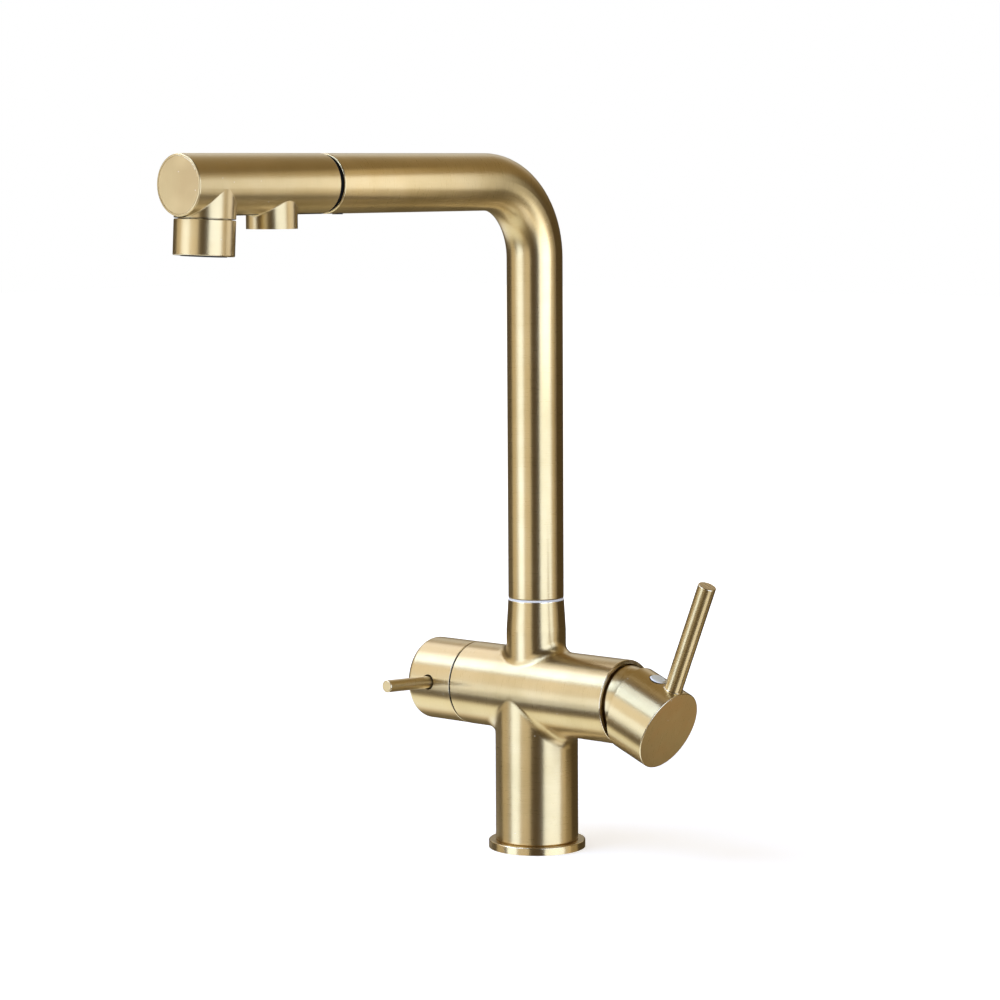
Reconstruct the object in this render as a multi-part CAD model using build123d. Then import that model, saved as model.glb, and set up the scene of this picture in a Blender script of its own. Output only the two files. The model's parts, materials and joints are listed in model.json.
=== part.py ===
from build123d import *

import os
from math import asin, cos, degrees, radians, sin, sqrt

# A three way filtered water tap, as its separate pieces. Lengths in mm, angles in degrees.
#
# Frame: the origin is on the worktop, on the axis of the column, with +Z up. The spout
# points to -Y, the mixer's handle is at +X and the filter's knob at -X. All pieces stand
# with both valves open: the handle is tipped forward and the filter's lever points forward.

# ---------------------------------------------------------------- driving dimensions
# Column and base
COLUMN_RADIUS = 20.9
COLUMN_BORE_RADIUS = 15.5
HOSE_SPACE_DROP = 28.0           # from the barrel's axis down to where the hoses screw in
FLANGE_RADIUS = 24.5
FLANGE_HEIGHT = 3.9
FLANGE_ROUND = 0.5
COLUMN_FOOT_CHAMFER = 0.6        # dark line between the flange and the column
SPIGOT_RADIUS = 19.6             # foot of the body, inside the flange
SHANK_THREAD_RADIUS = 16.5       # M33 socket for the fixing shank
SHANK_THREAD_LENGTH = 12.0
GASKET_WIDTH = 2.2
GASKET_THICKNESS = 1.6

# Barrel across the top of the column
BARREL_HEIGHT = 80.0             # its axis above the worktop
BARREL_RADIUS = 21.1
BARREL_RIGHT = 58.3              # open rim at the mixer's side
BARREL_LEFT = 40.2               # rim at the filter's side
RIM_ROUND = 0.4
JUNCTION_FILLET = 7.0

# Neck that carries the spout
NECK_HEIGHT = 46.4               # from the barrel's axis to the neck's top
NECK_TOP_RADIUS = 14.1
NECK_RADIUS = 15.0
NECK_TAPER_HEIGHT = 15.0
NECK_FILLET = 6.0
NECK_BORE_RADIUS = 11.6
NECK_BORE_DEPTH = 28.4
SPOUT_SPIGOT_LIFT = 3.0          # from the bore's floor to the spigot
SPOUT_SPIGOT_BORE = 8.0
SPOUT_SPIGOT_LENGTH = 22.0       # stretch of the spigot inside the tube
SPOUT_SEAL_HEIGHTS = (8.0, 13.0) # above the bore's floor
RETAINER_DEPTH = 6.4             # groove and screw, below the neck's top
RETAINER_GROOVE = 3.6
RETAINER_GROOVE_RADIUS = 10.0
RETAINER_TIP_RADIUS = 1.5
SEAL_SECTION = 0.95              # radius of an o-ring's section
SEAL_GROOVE = 2.2
SMALL_SEAL_SECTION = 0.5
SWIVEL_RING_HEIGHT = 1.0
SWIVEL_RING_RADIUS = 13.9

# Spout tube
TUBE_RADIUS = 14.0
TUBE_WALL = 1.5
ARM_HEIGHT = 336.0               # axis of the horizontal arm
BEND_RADIUS = 38.0
TUBE_ROUND = 0.6

# Filtered water line inside the spout
LINE_RADIUS = 3.2
LINE_BORE_RADIUS = 2.1
LINE_SOCKET_RADIUS = 4.3
LINE_SOCKET_DEPTH = 8.0
LINE_END_LIFT = 3.2              # from the socket's floor to the line's end
LINE_SEAL_LIFT = 5.5
LINE_PLUG_DEPTH = 2.8            # stretch of the line inside the head's post

# Outlet head
OUTLET_REACH = 224.9             # from the column's axis to the mixed water's outlet
OUTLET_PITCH = 40.9              # between the two outlets
HEAD_RADIUS = 14.0
HEAD_FRONT = 16.9                # from the mixed water's outlet to the head's two ends
HEAD_BACK = 72.5
HEAD_BORE_RADIUS = 11.0
HEAD_ROUND = 0.7
END_CAP_RADIUS = 13.0
END_CAP_THICKNESS = 4.0
END_CAP_ROUND = 0.3
SPACER_RADIUS = 13.1
SPACER_WIDTH = 2.4               # between the tube's end and the head
ADAPTER_BORE_RADIUS = 7.5
ADAPTER_SEAL_REACH = 8.0         # from the head's edge
HEAD_SCREW_INSET = 9.0           # from the tube's end
HEAD_SCREW_PROUD = 0.3
ADAPTER_TUBE_LENGTH = 26.0       # stretch of the adapter inside the spout tube
ADAPTER_HEAD_LENGTH = 14.0       # stretch of the adapter inside the head
OUTLET_TILT = 3.6                # the stream leans forward, away from the column
OUTLET_RADIUS = 13.9
OUTLET_BOSS_LENGTH = 15.0        # from the arm's axis to the collar
OUTLET_SPIGOT_LENGTH = 8.0
OUTLET_SPIGOT_RADIUS = 12.0
OUTLET_BORE_RADIUS = 9.5
COLLAR_GAP = 0.5
COLLAR_LENGTH = 16.2
COLLAR_ROUND = 0.5
COLLAR_LIP = 0.8                 # turned-in edge that holds the aerator
AERATOR_RADIUS = 11.2
AERATOR_LENGTH = 7.0
AERATOR_WALL = 1.6
AERATOR_SCREEN = 1.0
AERATOR_HOLE_RADIUS = 1.1
AERATOR_HOLE_PITCH = 3.1
HOLE_RINGS = 2                   # of holes round the middle one, in both outlets
WASHER_BORE_RADIUS = 8.5
FILTER_OUTLET_RADIUS = 11.8
FILTER_OUTLET_LENGTH = 20.3      # from the arm's axis to the underside
FILTER_POST_RADIUS = 5.4
FILTER_INSERT_RADIUS = 8.6
FILTER_INSERT_LENGTH = 5.0
FILTER_INSERT_WALL = 1.0
FILTER_INSERT_SCREEN = 2.0
FILTER_HOLE_RADIUS = 1.0
FILTER_HOLE_PITCH = 2.9
CREASE_FILLET = 0.8

# Mixing cartridge, for a 35 mm bore
CARTRIDGE_RADIUS = 17.5
CARTRIDGE_BORE_DEPTH = 30.3      # from the barrel's rim to the cartridge's seat
CARTRIDGE_SHOULDER = 24.0        # from the seat to the shoulder under the nut
CARTRIDGE_NECK_RADIUS = 14.0
CARTRIDGE_NECK_LENGTH = 4.0
CARTRIDGE_WALL = 2.8
CARTRIDGE_BASE = 4.3
DISC_RADIUS = 14.6
DISC_THICKNESS = 4.0
MOVING_DISC_RADIUS = 9.6
DISC_POCKET_RADIUS = 5.8
ROTOR_RADIUS = 11.0
ROTOR_FRONT = 3.0                # front of the rotor, beyond the pivot
NUT_RADIUS = 19.1                # thread in the barrel's mouth
NUT_THICKNESS = 2.2
NUT_COLLAR_RADIUS = 16.2
PORT_HEIGHT_INLET = -4.0         # cartridge ports, from the barrel's axis
PORT_SPREAD = 6.5
PORT_HEIGHT_OUTLET = 8.0
PORT_RADIUS = 3.0
SEAL_RADIUS = 4.4

# Handle of the mixer. Its pivot lies on the barrel's axis.
PIVOT_INSET = 0.8                # from the barrel's rim in to the pivot
HANDLE_TILT = 22.8               # 0 is closed
HANDLE_TURN = 2.0                # 0 is mid temperature
CAP_RADIUS = 20.6
CAP_FACE = 29.5                  # from the pivot to the cap's flat face
CAP_WALL = 1.2
CAP_EDGE_MIDDLE = 6.1            # from the pivot to the skirt's edge, at half height
CAP_EDGE_RISE = 3.4              # the edge is cut askew by this much over one radius
CAP_ROUND = 0.5
CAP_WEB = 10.0
HUB_RADIUS = 7.2
HUB_LENGTH = 11.0
STEM_WIDTH = 8.0
STEM_LENGTH = 19.2
STEM_ARM = 14.3                  # from the pivot down to the ball in the disc's slider
STEM_BALL_RADIUS = 2.4
STEM_ARM_RADIUS = 1.9
PIN_RADIUS = 1.5
SHROUD_RADIUS = 18.5
SHROUD_WALL = 2.0
SHROUD_SKIRT_RADIUS = 17.4
SHROUD_GAP = 1.3                 # from the barrel's rim to the shroud's edge
SHROUD_OPENING = 51.0            # half angle of its front opening
LEVER_RADIUS = 4.5
LEVER_TOP = 77.8                 # from the cap's axis to the lever's flat end
LEVER_OFFSET = 24.3              # from the pivot to the lever's axis
LEVER_FOOT_RADIUS = 4.9
LEVER_FOOT_HEIGHT = 0.9
LEVER_SEAT_DEPTH = 0.6
LEVER_STUD_RADIUS = 2.6
LEVER_STUD_LENGTH = 8.0
LEVER_ROUND = 0.5
PLUG_RADIUS = 4.1
PLUG_OFFSET = 14.2               # from the pivot to the plug's axis
PLUG_RISE = 0.5                  # its face stands proud of the cap
PLUG_SEAT_DEPTH = 0.7            # recess of its head in the cap
PLUG_CLEARANCE = 0.3             # round its head
PLUG_PEG_RADIUS = 3.3
PLUG_PEG_DEPTH = 1.4             # the peg's end, below the cap's outside
PLUG_CHAMFER = 0.5

# Filter valve and its knob
VALVE_BORE_RADIUS = 10.2
VALVE_BORE_DEPTH = 28.6          # from the barrel's rim to the valve's seat
VALVE_THREAD_LENGTH = 21.0
VALVE_RADIUS = 10.0
VALVE_TIP_RADIUS = 9.0
VALVE_TIP_LENGTH = 11.5
VALVE_HEX = 24.0                 # across flats
VALVE_HEX_HEIGHT = 5.0
VALVE_NECK_RADIUS = 8.0
VALVE_NECK_LENGTH = 5.0
VALVE_DISC_RADIUS = 7.4
VALVE_DISC_THICKNESS = 3.0
VALVE_SEAL_THICKNESS = 0.9
VALVE_CHAMBER_LENGTH = 13.0
VALVE_PORT_HEIGHT = 3.5          # inlet port below the barrel's axis
VALVE_PORT_RADIUS = 2.2
VALVE_OUTLET_HEIGHT = 10.2       # way out along the top of the valve's bore
VALVE_WINDOW_WIDTH = 7.0
SPINDLE_RADIUS = 4.5
SPINDLE_BLADE_WIDTH = 11.7
SPINDLE_BLADE_THICKNESS = 5.4
SPINDLE_SEAL_DEPTH = 3.0         # from the valve's shoulder in to the seal
SPINDLE_FLAT_DEPTH = 0.6         # flat under the knob's screw
SPINDLE_FLAT_START = 3.0         # from the valve's neck to the flat
RECESS_RADIUS = 17.5
RECESS_DEPTH = 7.6
KNOB_RADIUS = 21.0
KNOB_LENGTH = 29.2
KNOB_GAP = 0.8
KNOB_WALL = 2.1
KNOB_FILLET = 3.0
KNOB_FACE_THICKNESS = 8.5
KNOB_HUB_RADIUS = 8.5
KNOB_HUB_LENGTH = 15.5
KNOB_LEVER_INSET = 14.4          # from the knob's edge to the axis of its lever
KNOB_LEVER_RADIUS = 3.1
KNOB_LEVER_HOLE = 3.9
KNOB_LEVER_REACH = 51.8
KNOB_LEVER_LIFT = 3.0            # angle above the horizontal
KNOB_STUD_RADIUS = 2.5
KNOB_TIP_ROUND = 0.6
KNOB_LEVER_SEAT_DEPTH = 0.4
KNOB_GRUB_INSET = 15.0           # from the knob's edge to its screw
KNOB_GRUB_HOLE = 1.7

# Hose ports under the body
HOSE_PORT_RADIUS = 5.0           # M10
HOSE_PORT_LENGTH = 9.0
MIXED_PORT_X = 7.4               # hot and cold inlets, and the way to the cartridge
FILTER_PORT_INSET = 3.5          # from the valve's seat to the axis of its port
WATERWAY_RADIUS = 3.0
FILTER_WAY_RADIUS = 2.6
MIXED_RISER_X = 8.2

# Small screws
GRUB_RADIUS = 2.5
SMALL_GRUB_RADIUS = 2.0
SMALL_GRUB_LENGTH = 3.5
GRUB_KEY_SHARE = 0.5             # hexagon socket's width, as a share of the screw's diameter
GRUB_KEY_DEPTH_SHARE = 0.6       # its depth, as a share of the same
HANDLE_GRUB_LENGTH = 5.0

# Clearances
RUNNING = 0.08                   # radial, shaft in bore
SLIDE = 0.05                     # between faces that slide on each other
SEAT = 0.3                       # between pieces that face each other without touching
THREAD = 0.1                     # radial, between a thread's two sides
BRAZE = 0.03                     # radial, between brazed or pressed pieces
OVER = 1.0                       # how far a shape runs past the face that it cuts or joins

# ---------------------------------------------------------------- derived places
TUBE_BORE = TUBE_RADIUS - TUBE_WALL
HOSE_SPACE_TOP = BARREL_HEIGHT - HOSE_SPACE_DROP
NECK_TOP = BARREL_HEIGHT + NECK_HEIGHT
NECK_FLOOR = NECK_TOP - NECK_BORE_DEPTH
TUBE_START = NECK_TOP + SWIVEL_RING_HEIGHT + SLIDE
LINE_SOCKET_FLOOR = NECK_FLOOR - LINE_SOCKET_DEPTH
HEAD_START = OUTLET_REACH - HEAD_BACK
HEAD_END = OUTLET_REACH + HEAD_FRONT
TUBE_END = HEAD_START - SPACER_WIDTH
FILTER_OUTLET_REACH = OUTLET_REACH - OUTLET_PITCH
CARTRIDGE_SEAT = BARREL_RIGHT - CARTRIDGE_BORE_DEPTH
NUT_SEAT = CARTRIDGE_SEAT + CARTRIDGE_SHOULDER
PIVOT_OFFSET = BARREL_RIGHT - PIVOT_INSET
ROTOR_START = SEAT + CARTRIDGE_BASE + 3 * DISC_THICKNESS + 3 * SLIDE + SEAT
BARREL_BORE_RADIUS = CARTRIDGE_RADIUS + SEAT
KNOB_START = BARREL_LEFT + KNOB_GAP
KNOB_END = KNOB_START + KNOB_LENGTH
VALVE_SEAT = BARREL_LEFT - VALVE_BORE_DEPTH
FILTER_PORT_X = FILTER_PORT_INSET - VALVE_SEAT
VALVE_SHOULDER = VALVE_SEAT + VALVE_THREAD_LENGTH
VALVE_NECK_END = VALVE_SHOULDER + VALVE_HEX_HEIGHT + VALVE_NECK_LENGTH
SPINDLE_END = KNOB_END - KNOB_FACE_THICKNESS - SEAT

# Frames in which the pieces are drawn, each with its own +Z along the piece's axis
BARREL = Pos(0, 0, BARREL_HEIGHT) * Rot(0, 90, 0)             # +Z to the mixer's side, -X up
LEFT = Pos(0, 0, BARREL_HEIGHT) * Rot(0, -90, 0)              # +Z to the filter's side, +X up
ROTOR = Pos(PIVOT_OFFSET, 0, BARREL_HEIGHT) * Rot(HANDLE_TURN, 0, 0) * Rot(0, 90, 0)
HANDLE = ROTOR * Rot(0, HANDLE_TILT, 0)                       # at the pivot, +Z to the cap's face
KNOB = LEFT * Rot(0, 0, KNOB_LEVER_LIFT)                      # -Y along the knob's lever
ARM = Pos(0, 0, ARM_HEIGHT) * Rot(90, 0, 0)                   # +Z forward, +Y up
HEAD = ARM * Pos(0, 0, OUTLET_REACH)                          # the same, over the main outlet
TO_OUTLET = Rot(90 - OUTLET_TILT, 0, 0)                       # in the head's frame, +Z down
TO_FILTER_OUTLET = Pos(0, 0, -OUTLET_PITCH) * Rot(90, 0, 0)
RETAINER = Pos(0, 0, NECK_TOP - RETAINER_DEPTH) * Rot(-90, 0, 0)          # +Z to the back
HEAD_SCREW = ARM * Pos(0, 0, TUBE_END - HEAD_SCREW_INSET) * Rot(90, 0, 0)  # +Z down
UP_FROM_BARREL = Rot(0, -90, 0)  # in the barrel's and the handle's frames, turns +Z to up


# ---------------------------------------------------------------- shapes used by many pieces
def rod(radius, start, end):
    """A cylinder along Z from start to end."""
    align = (Align.CENTER, Align.CENTER, Align.MIN)
    return Pos(0, 0, start) * Cylinder(radius, end - start, align=align)


def ring(outer, inner, start, end):
    """A cylinder with a bore through it."""
    return rod(outer, start, end) - rod(inner, start - OVER, end + OVER)


def o_ring(centre_radius, section_radius, height):
    """A round seal about Z."""
    return Pos(0, 0, height) * Torus(centre_radius, section_radius)


def block(x_size, y_size, start, end):
    """A rectangular bar along Z."""
    align = (Align.CENTER, Align.CENTER, Align.MIN)
    return Pos(0, 0, start) * Box(x_size, y_size, end - start, align=align)


def hexagon(across_flats, start, end):
    """A hexagonal bar along Z."""
    outline = RegularPolygon(across_flats / 2, 6, major_radius=False)
    return Pos(0, 0, start) * extrude(outline, end - start)


def grub_screw(radius, start, end):
    """A headless screw along Z with a hexagon socket in its upper end."""
    width = 2 * radius
    key = hexagon(width * GRUB_KEY_SHARE, end - width * GRUB_KEY_DEPTH_SHARE, end + OVER)
    return rod(radius, start, end) - key


def edges_at(solid, axis, place, tolerance=0.05):
    """The solid's round edges whose centre lies at one place along an axis."""
    found = solid.edges().filter_by(GeomType.CIRCLE)
    return found.filter_by_position(axis, place - tolerance, place + tolerance)


# ---------------------------------------------------------------- body and base
def body_outside():
    """Column, barrel and neck as one casting, with soft junctions."""
    column = rod(COLUMN_RADIUS, FLANGE_HEIGHT, BARREL_HEIGHT)
    barrel = BARREL * rod(BARREL_RADIUS, -BARREL_LEFT, BARREL_RIGHT)
    lower = column + barrel
    crease = [e for e in lower.edges() if e.geom_type not in (GeomType.CIRCLE, GeomType.LINE)]
    crease = [e for e in crease if e.bounding_box().max.Z < BARREL_HEIGHT + OVER]
    lower = fillet(crease, JUNCTION_FILLET)
    neck_foot = NECK_TOP - NECK_TAPER_HEIGHT
    neck = rod(NECK_RADIUS, BARREL_HEIGHT, neck_foot)
    neck += Pos(0, 0, neck_foot + NECK_TAPER_HEIGHT / 2) * Cone(
        NECK_RADIUS, NECK_TOP_RADIUS, NECK_TAPER_HEIGHT)
    whole = lower + neck
    collar = [e for e in whole.edges() if e.geom_type not in (GeomType.CIRCLE, GeomType.LINE)]
    collar = [e for e in collar if e.bounding_box().min.Z > BARREL_HEIGHT + OVER]
    whole = fillet(collar, NECK_FILLET)
    rims = edges_at(whole, Axis.X, BARREL_RIGHT) + edges_at(whole, Axis.X, -BARREL_LEFT)
    whole = fillet(rims, RIM_ROUND)
    whole = chamfer(edges_at(whole, Axis.Z, FLANGE_HEIGHT), COLUMN_FOOT_CHAMFER)
    return whole + rod(SPIGOT_RADIUS, 0, FLANGE_HEIGHT + OVER)


def body_waterways():
    """Everything that is bored out of the casting."""
    hollow = rod(COLUMN_BORE_RADIUS, -OVER, HOSE_SPACE_TOP)
    hollow += rod(SHANK_THREAD_RADIUS, -OVER, SHANK_THREAD_LENGTH)
    # the mixer's side: bore of the cartridge, thread of its nut, three ways to its seat
    hollow += BARREL * rod(BARREL_BORE_RADIUS, CARTRIDGE_SEAT, BARREL_RIGHT + OVER)
    hollow += BARREL * rod(NUT_RADIUS, NUT_SEAT - SEAT, BARREL_RIGHT + OVER)
    inlet_height = BARREL_HEIGHT + PORT_HEIGHT_INLET
    for side in (1, -1):
        foot = Pos(MIXED_PORT_X, side * PORT_SPREAD, 0)
        hollow += foot * rod(HOSE_PORT_RADIUS, HOSE_SPACE_TOP - OVER, HOSE_SPACE_TOP + HOSE_PORT_LENGTH)
        hollow += foot * rod(WATERWAY_RADIUS, HOSE_SPACE_TOP, inlet_height)
        hollow += Pos(0, side * PORT_SPREAD, PORT_HEIGHT_INLET) * BARREL * rod(
            WATERWAY_RADIUS, MIXED_PORT_X, CARTRIDGE_SEAT + OVER)
    outlet_height = BARREL_HEIGHT + PORT_HEIGHT_OUTLET
    hollow += Pos(0, 0, PORT_HEIGHT_OUTLET) * BARREL * rod(
        WATERWAY_RADIUS, MIXED_RISER_X, CARTRIDGE_SEAT + OVER)
    hollow += Pos(MIXED_RISER_X, 0, 0) * rod(WATERWAY_RADIUS, outlet_height, NECK_FLOOR + OVER)
    # the neck: bore of the spout's spigot and socket of the filtered water line
    hollow += rod(NECK_BORE_RADIUS, NECK_FLOOR, NECK_TOP + OVER)
    hollow += rod(LINE_SOCKET_RADIUS, LINE_SOCKET_FLOOR, NECK_FLOOR + OVER)
    # the filter's side: recess behind the knob, bore of the valve, its two ways
    hollow += LEFT * rod(RECESS_RADIUS, BARREL_LEFT - RECESS_DEPTH, BARREL_LEFT + OVER)
    hollow += LEFT * rod(VALVE_BORE_RADIUS, VALVE_SEAT, BARREL_LEFT)
    hollow += Pos(0, 0, VALVE_OUTLET_HEIGHT) * LEFT * rod(
        FILTER_WAY_RADIUS, 0, VALVE_SEAT + VALVE_TIP_LENGTH - OVER)
    foot = Pos(FILTER_PORT_X, 0, 0)
    valve_inlet = BARREL_HEIGHT - VALVE_PORT_HEIGHT
    hollow += foot * rod(HOSE_PORT_RADIUS, HOSE_SPACE_TOP - OVER, HOSE_SPACE_TOP + HOSE_PORT_LENGTH)
    hollow += foot * rod(FILTER_WAY_RADIUS, HOSE_SPACE_TOP, valve_inlet)
    hollow += Pos(0, 0, -VALVE_PORT_HEIGHT) * LEFT * rod(
        FILTER_WAY_RADIUS, -FILTER_PORT_X, VALVE_SEAT + OVER)
    # the screw that keeps the spout down
    hollow += RETAINER * rod(GRUB_RADIUS, NECK_BORE_RADIUS - OVER, NECK_RADIUS + OVER)
    return hollow


def body_casting():
    """Brass casting that holds both valves, carries the spout and stands on the flange."""
    return body_outside() - body_waterways()


def base_flange():
    """Turned ring under the column, with a groove for its gasket."""
    flange = ring(FLANGE_RADIUS, SPIGOT_RADIUS + THREAD, 0, FLANGE_HEIGHT)
    rim = edges_at(flange, Axis.Z, FLANGE_HEIGHT).sort_by(SortBy.LENGTH)[-1]
    flange = fillet(rim, FLANGE_ROUND)
    return flange - rod(SPIGOT_RADIUS + THREAD + GASKET_WIDTH, -OVER, GASKET_THICKNESS)


def base_gasket():
    """Flat rubber ring in the underside of the flange."""
    inner = SPIGOT_RADIUS + THREAD
    return ring(inner + GASKET_WIDTH, inner, 0, GASKET_THICKNESS)


def swivel_ring():
    """White plastic ring on which the spout turns."""
    return ring(SWIVEL_RING_RADIUS, NECK_BORE_RADIUS, NECK_TOP, NECK_TOP + SWIVEL_RING_HEIGHT)


def spout_retaining_screw():
    """Headless screw in the back of the neck; its tip keeps the spigot down."""
    shoulder = NECK_BORE_RADIUS + SEAT
    end = NECK_TOP_RADIUS - SEAT
    tip = rod(RETAINER_TIP_RADIUS, RETAINER_GROOVE_RADIUS + SEAT, shoulder)
    return RETAINER * (tip + grub_screw(GRUB_RADIUS, shoulder, end))


# ---------------------------------------------------------------- mixing cartridge
def at_ports(make):
    """The same shape at the three ports of the cartridge, in the barrel's frame."""
    places = [(PORT_HEIGHT_OUTLET, 0), (PORT_HEIGHT_INLET, PORT_SPREAD), (PORT_HEIGHT_INLET, -PORT_SPREAD)]
    return [Pos(-up, side, 0) * make() for up, side in places]


def cartridge_housing():
    """Plastic shell of the cartridge, with three sealed ports in its base."""
    start = CARTRIDGE_SEAT + SEAT
    shell = rod(CARTRIDGE_RADIUS, start, NUT_SEAT)
    shell += rod(CARTRIDGE_NECK_RADIUS, NUT_SEAT, NUT_SEAT + CARTRIDGE_NECK_LENGTH)
    shell -= rod(DISC_RADIUS + THREAD, start + CARTRIDGE_BASE, NUT_SEAT - CARTRIDGE_WALL)
    shell -= rod(ROTOR_RADIUS + RUNNING, start + CARTRIDGE_BASE, NUT_SEAT + CARTRIDGE_NECK_LENGTH + OVER)
    for port in at_ports(lambda: rod(PORT_RADIUS, start - OVER, start + CARTRIDGE_BASE + OVER)):
        shell -= port
    for recess in at_ports(lambda: rod(SEAL_RADIUS + THREAD, start - OVER, start + GASKET_THICKNESS)):
        shell -= recess
    return BARREL * shell


def cartridge_seals():
    """Three rubber rings between the cartridge and its seat."""
    end = CARTRIDGE_SEAT + SEAT + GASKET_THICKNESS
    return BARREL * Compound(at_ports(lambda: ring(SEAL_RADIUS, PORT_RADIUS, CARTRIDGE_SEAT, end)))


def fixed_ceramic_disc():
    """Polished disc with the three ports, still in the housing."""
    start = CARTRIDGE_SEAT + SEAT + CARTRIDGE_BASE
    disc = rod(DISC_RADIUS, start, start + DISC_THICKNESS)
    for port in at_ports(lambda: rod(PORT_RADIUS, start - OVER, start + DISC_THICKNESS + OVER)):
        disc -= port
    return BARREL * disc


MOVING_DISC_START = CARTRIDGE_SEAT + SEAT + CARTRIDGE_BASE + DISC_THICKNESS + SLIDE - PIVOT_OFFSET
DISC_TRAVEL = STEM_ARM * sin(radians(HANDLE_TILT))      # from closed to this pose, upwards


def moving_ceramic_disc():
    """Smaller disc that slides over the ports; a pocket in it joins them."""
    start = MOVING_DISC_START
    disc = rod(MOVING_DISC_RADIUS, start, start + DISC_THICKNESS)
    pocket = rod(DISC_POCKET_RADIUS, start - OVER, start + DISC_THICKNESS / 2)
    return ROTOR * Pos(-DISC_TRAVEL / 2, 0, 0) * (disc - pocket)


def disc_slider():
    """Plastic plate on the moving disc, with the socket of the stem's ball."""
    start = MOVING_DISC_START + DISC_THICKNESS + SLIDE
    plate = Pos(-DISC_TRAVEL / 2, 0, 0) * rod(MOVING_DISC_RADIUS, start, start + DISC_THICKNESS)
    socket = rod(STEM_BALL_RADIUS + THREAD, start - OVER, start + DISC_THICKNESS + OVER)
    return ROTOR * (plate - Pos(-DISC_TRAVEL, 0, 0) * socket)


ROTOR_FLANGE_END = NUT_SEAT - CARTRIDGE_WALL - SLIDE - PIVOT_OFFSET


def cartridge_rotor():
    """Turning carrier of the stem: a flange in the housing and a neck with a slot."""
    start = CARTRIDGE_SEAT + ROTOR_START - PIVOT_OFFSET
    rotor = rod(DISC_RADIUS, start, ROTOR_FLANGE_END)
    rotor += rod(ROTOR_RADIUS, ROTOR_FLANGE_END, ROTOR_FRONT)
    width = STEM_WIDTH + 2 * SEAT
    lean = sin(radians(HANDLE_TILT))
    half = STEM_WIDTH / 2 / cos(radians(HANDLE_TILT))
    low = ROTOR_FRONT * lean + half + SEAT
    high = STEM_ARM * lean + STEM_BALL_RADIUS + SEAT
    slot = Pos((low - high) / 2, 0, 0) * block(low + high, width, start - OVER, ROTOR_FRONT + OVER)
    pin_hole = Rot(90, 0, 0) * rod(PIN_RADIUS + BRAZE, -DISC_RADIUS, DISC_RADIUS)
    return ROTOR * (rotor - slot - pin_hole)


def stem_pin():
    """Steel pin on which the stem tips."""
    half_length = sqrt(ROTOR_RADIUS ** 2 - PIN_RADIUS ** 2) - SEAT
    return ROTOR * Rot(90, 0, 0) * rod(PIN_RADIUS, -half_length, half_length)


def cartridge_stem():
    """Square lever of the cartridge: the handle above its pin, a ball end below it."""
    half = STEM_WIDTH / 2
    stem = block(STEM_WIDTH, STEM_WIDTH, -half, STEM_LENGTH)
    stem = chamfer(stem.faces().sort_by(Axis.Z)[-1].edges(), SEAT * 2)
    stem += rod(STEM_ARM_RADIUS, -STEM_ARM, -half)
    stem += Pos(0, 0, -STEM_ARM) * Sphere(STEM_BALL_RADIUS)
    return HANDLE * (stem - Rot(90, 0, 0) * rod(PIN_RADIUS + RUNNING, -STEM_WIDTH, STEM_WIDTH))


def cartridge_nut():
    """Threaded brass ring that holds the cartridge down; its collar carries the shroud."""
    inner = CARTRIDGE_NECK_RADIUS + SEAT
    nut = ring(NUT_RADIUS - THREAD, inner, NUT_SEAT, NUT_SEAT + NUT_THICKNESS)
    return BARREL * (nut + ring(NUT_COLLAR_RADIUS, inner, NUT_SEAT + NUT_THICKNESS, BARREL_RIGHT))


def cartridge_shroud():
    """Domed cover of the cartridge, a zone of a sphere about the handle's pivot."""
    centre = Pos(0, 0, PIVOT_OFFSET)
    edge = BARREL_RIGHT + SHROUD_GAP
    dome = centre * (Sphere(SHROUD_RADIUS) - Sphere(SHROUD_RADIUS - SHROUD_WALL))
    dome -= rod(2 * SHROUD_RADIUS, PIVOT_OFFSET - 2 * SHROUD_RADIUS, edge)
    reach = 2 * SHROUD_RADIUS
    mouth = reach * sin(radians(SHROUD_OPENING)) / cos(radians(SHROUD_OPENING))
    align = (Align.CENTER, Align.CENTER, Align.MIN)
    dome -= centre * Cone(0, mouth, reach, align=align)
    inner = NUT_COLLAR_RADIUS + THREAD
    start = NUT_SEAT + NUT_THICKNESS + SEAT
    skirt = ring(SHROUD_SKIRT_RADIUS, inner, start, edge + THREAD)
    return BARREL * (dome + skirt)


# ---------------------------------------------------------------- handle of the mixer
CAP_FLOOR = CAP_FACE - CAP_WEB
CAP_BORE_RADIUS = CAP_RADIUS - CAP_WALL
LEVER_SEAT = CAP_RADIUS - LEVER_SEAT_DEPTH
PLUG_SEAT = CAP_RADIUS - PLUG_SEAT_DEPTH


def cap_edge_cut():
    """The space behind the cap's slanted edge, which lets it tip without meeting the barrel."""
    slant = degrees(asin(CAP_EDGE_RISE / sqrt(CAP_RADIUS ** 2 + CAP_EDGE_RISE ** 2)))
    size = 3 * CAP_RADIUS
    return Pos(0, 0, CAP_EDGE_MIDDLE) * Rot(0, -slant, 0) * block(size, size, -size, 0)


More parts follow.
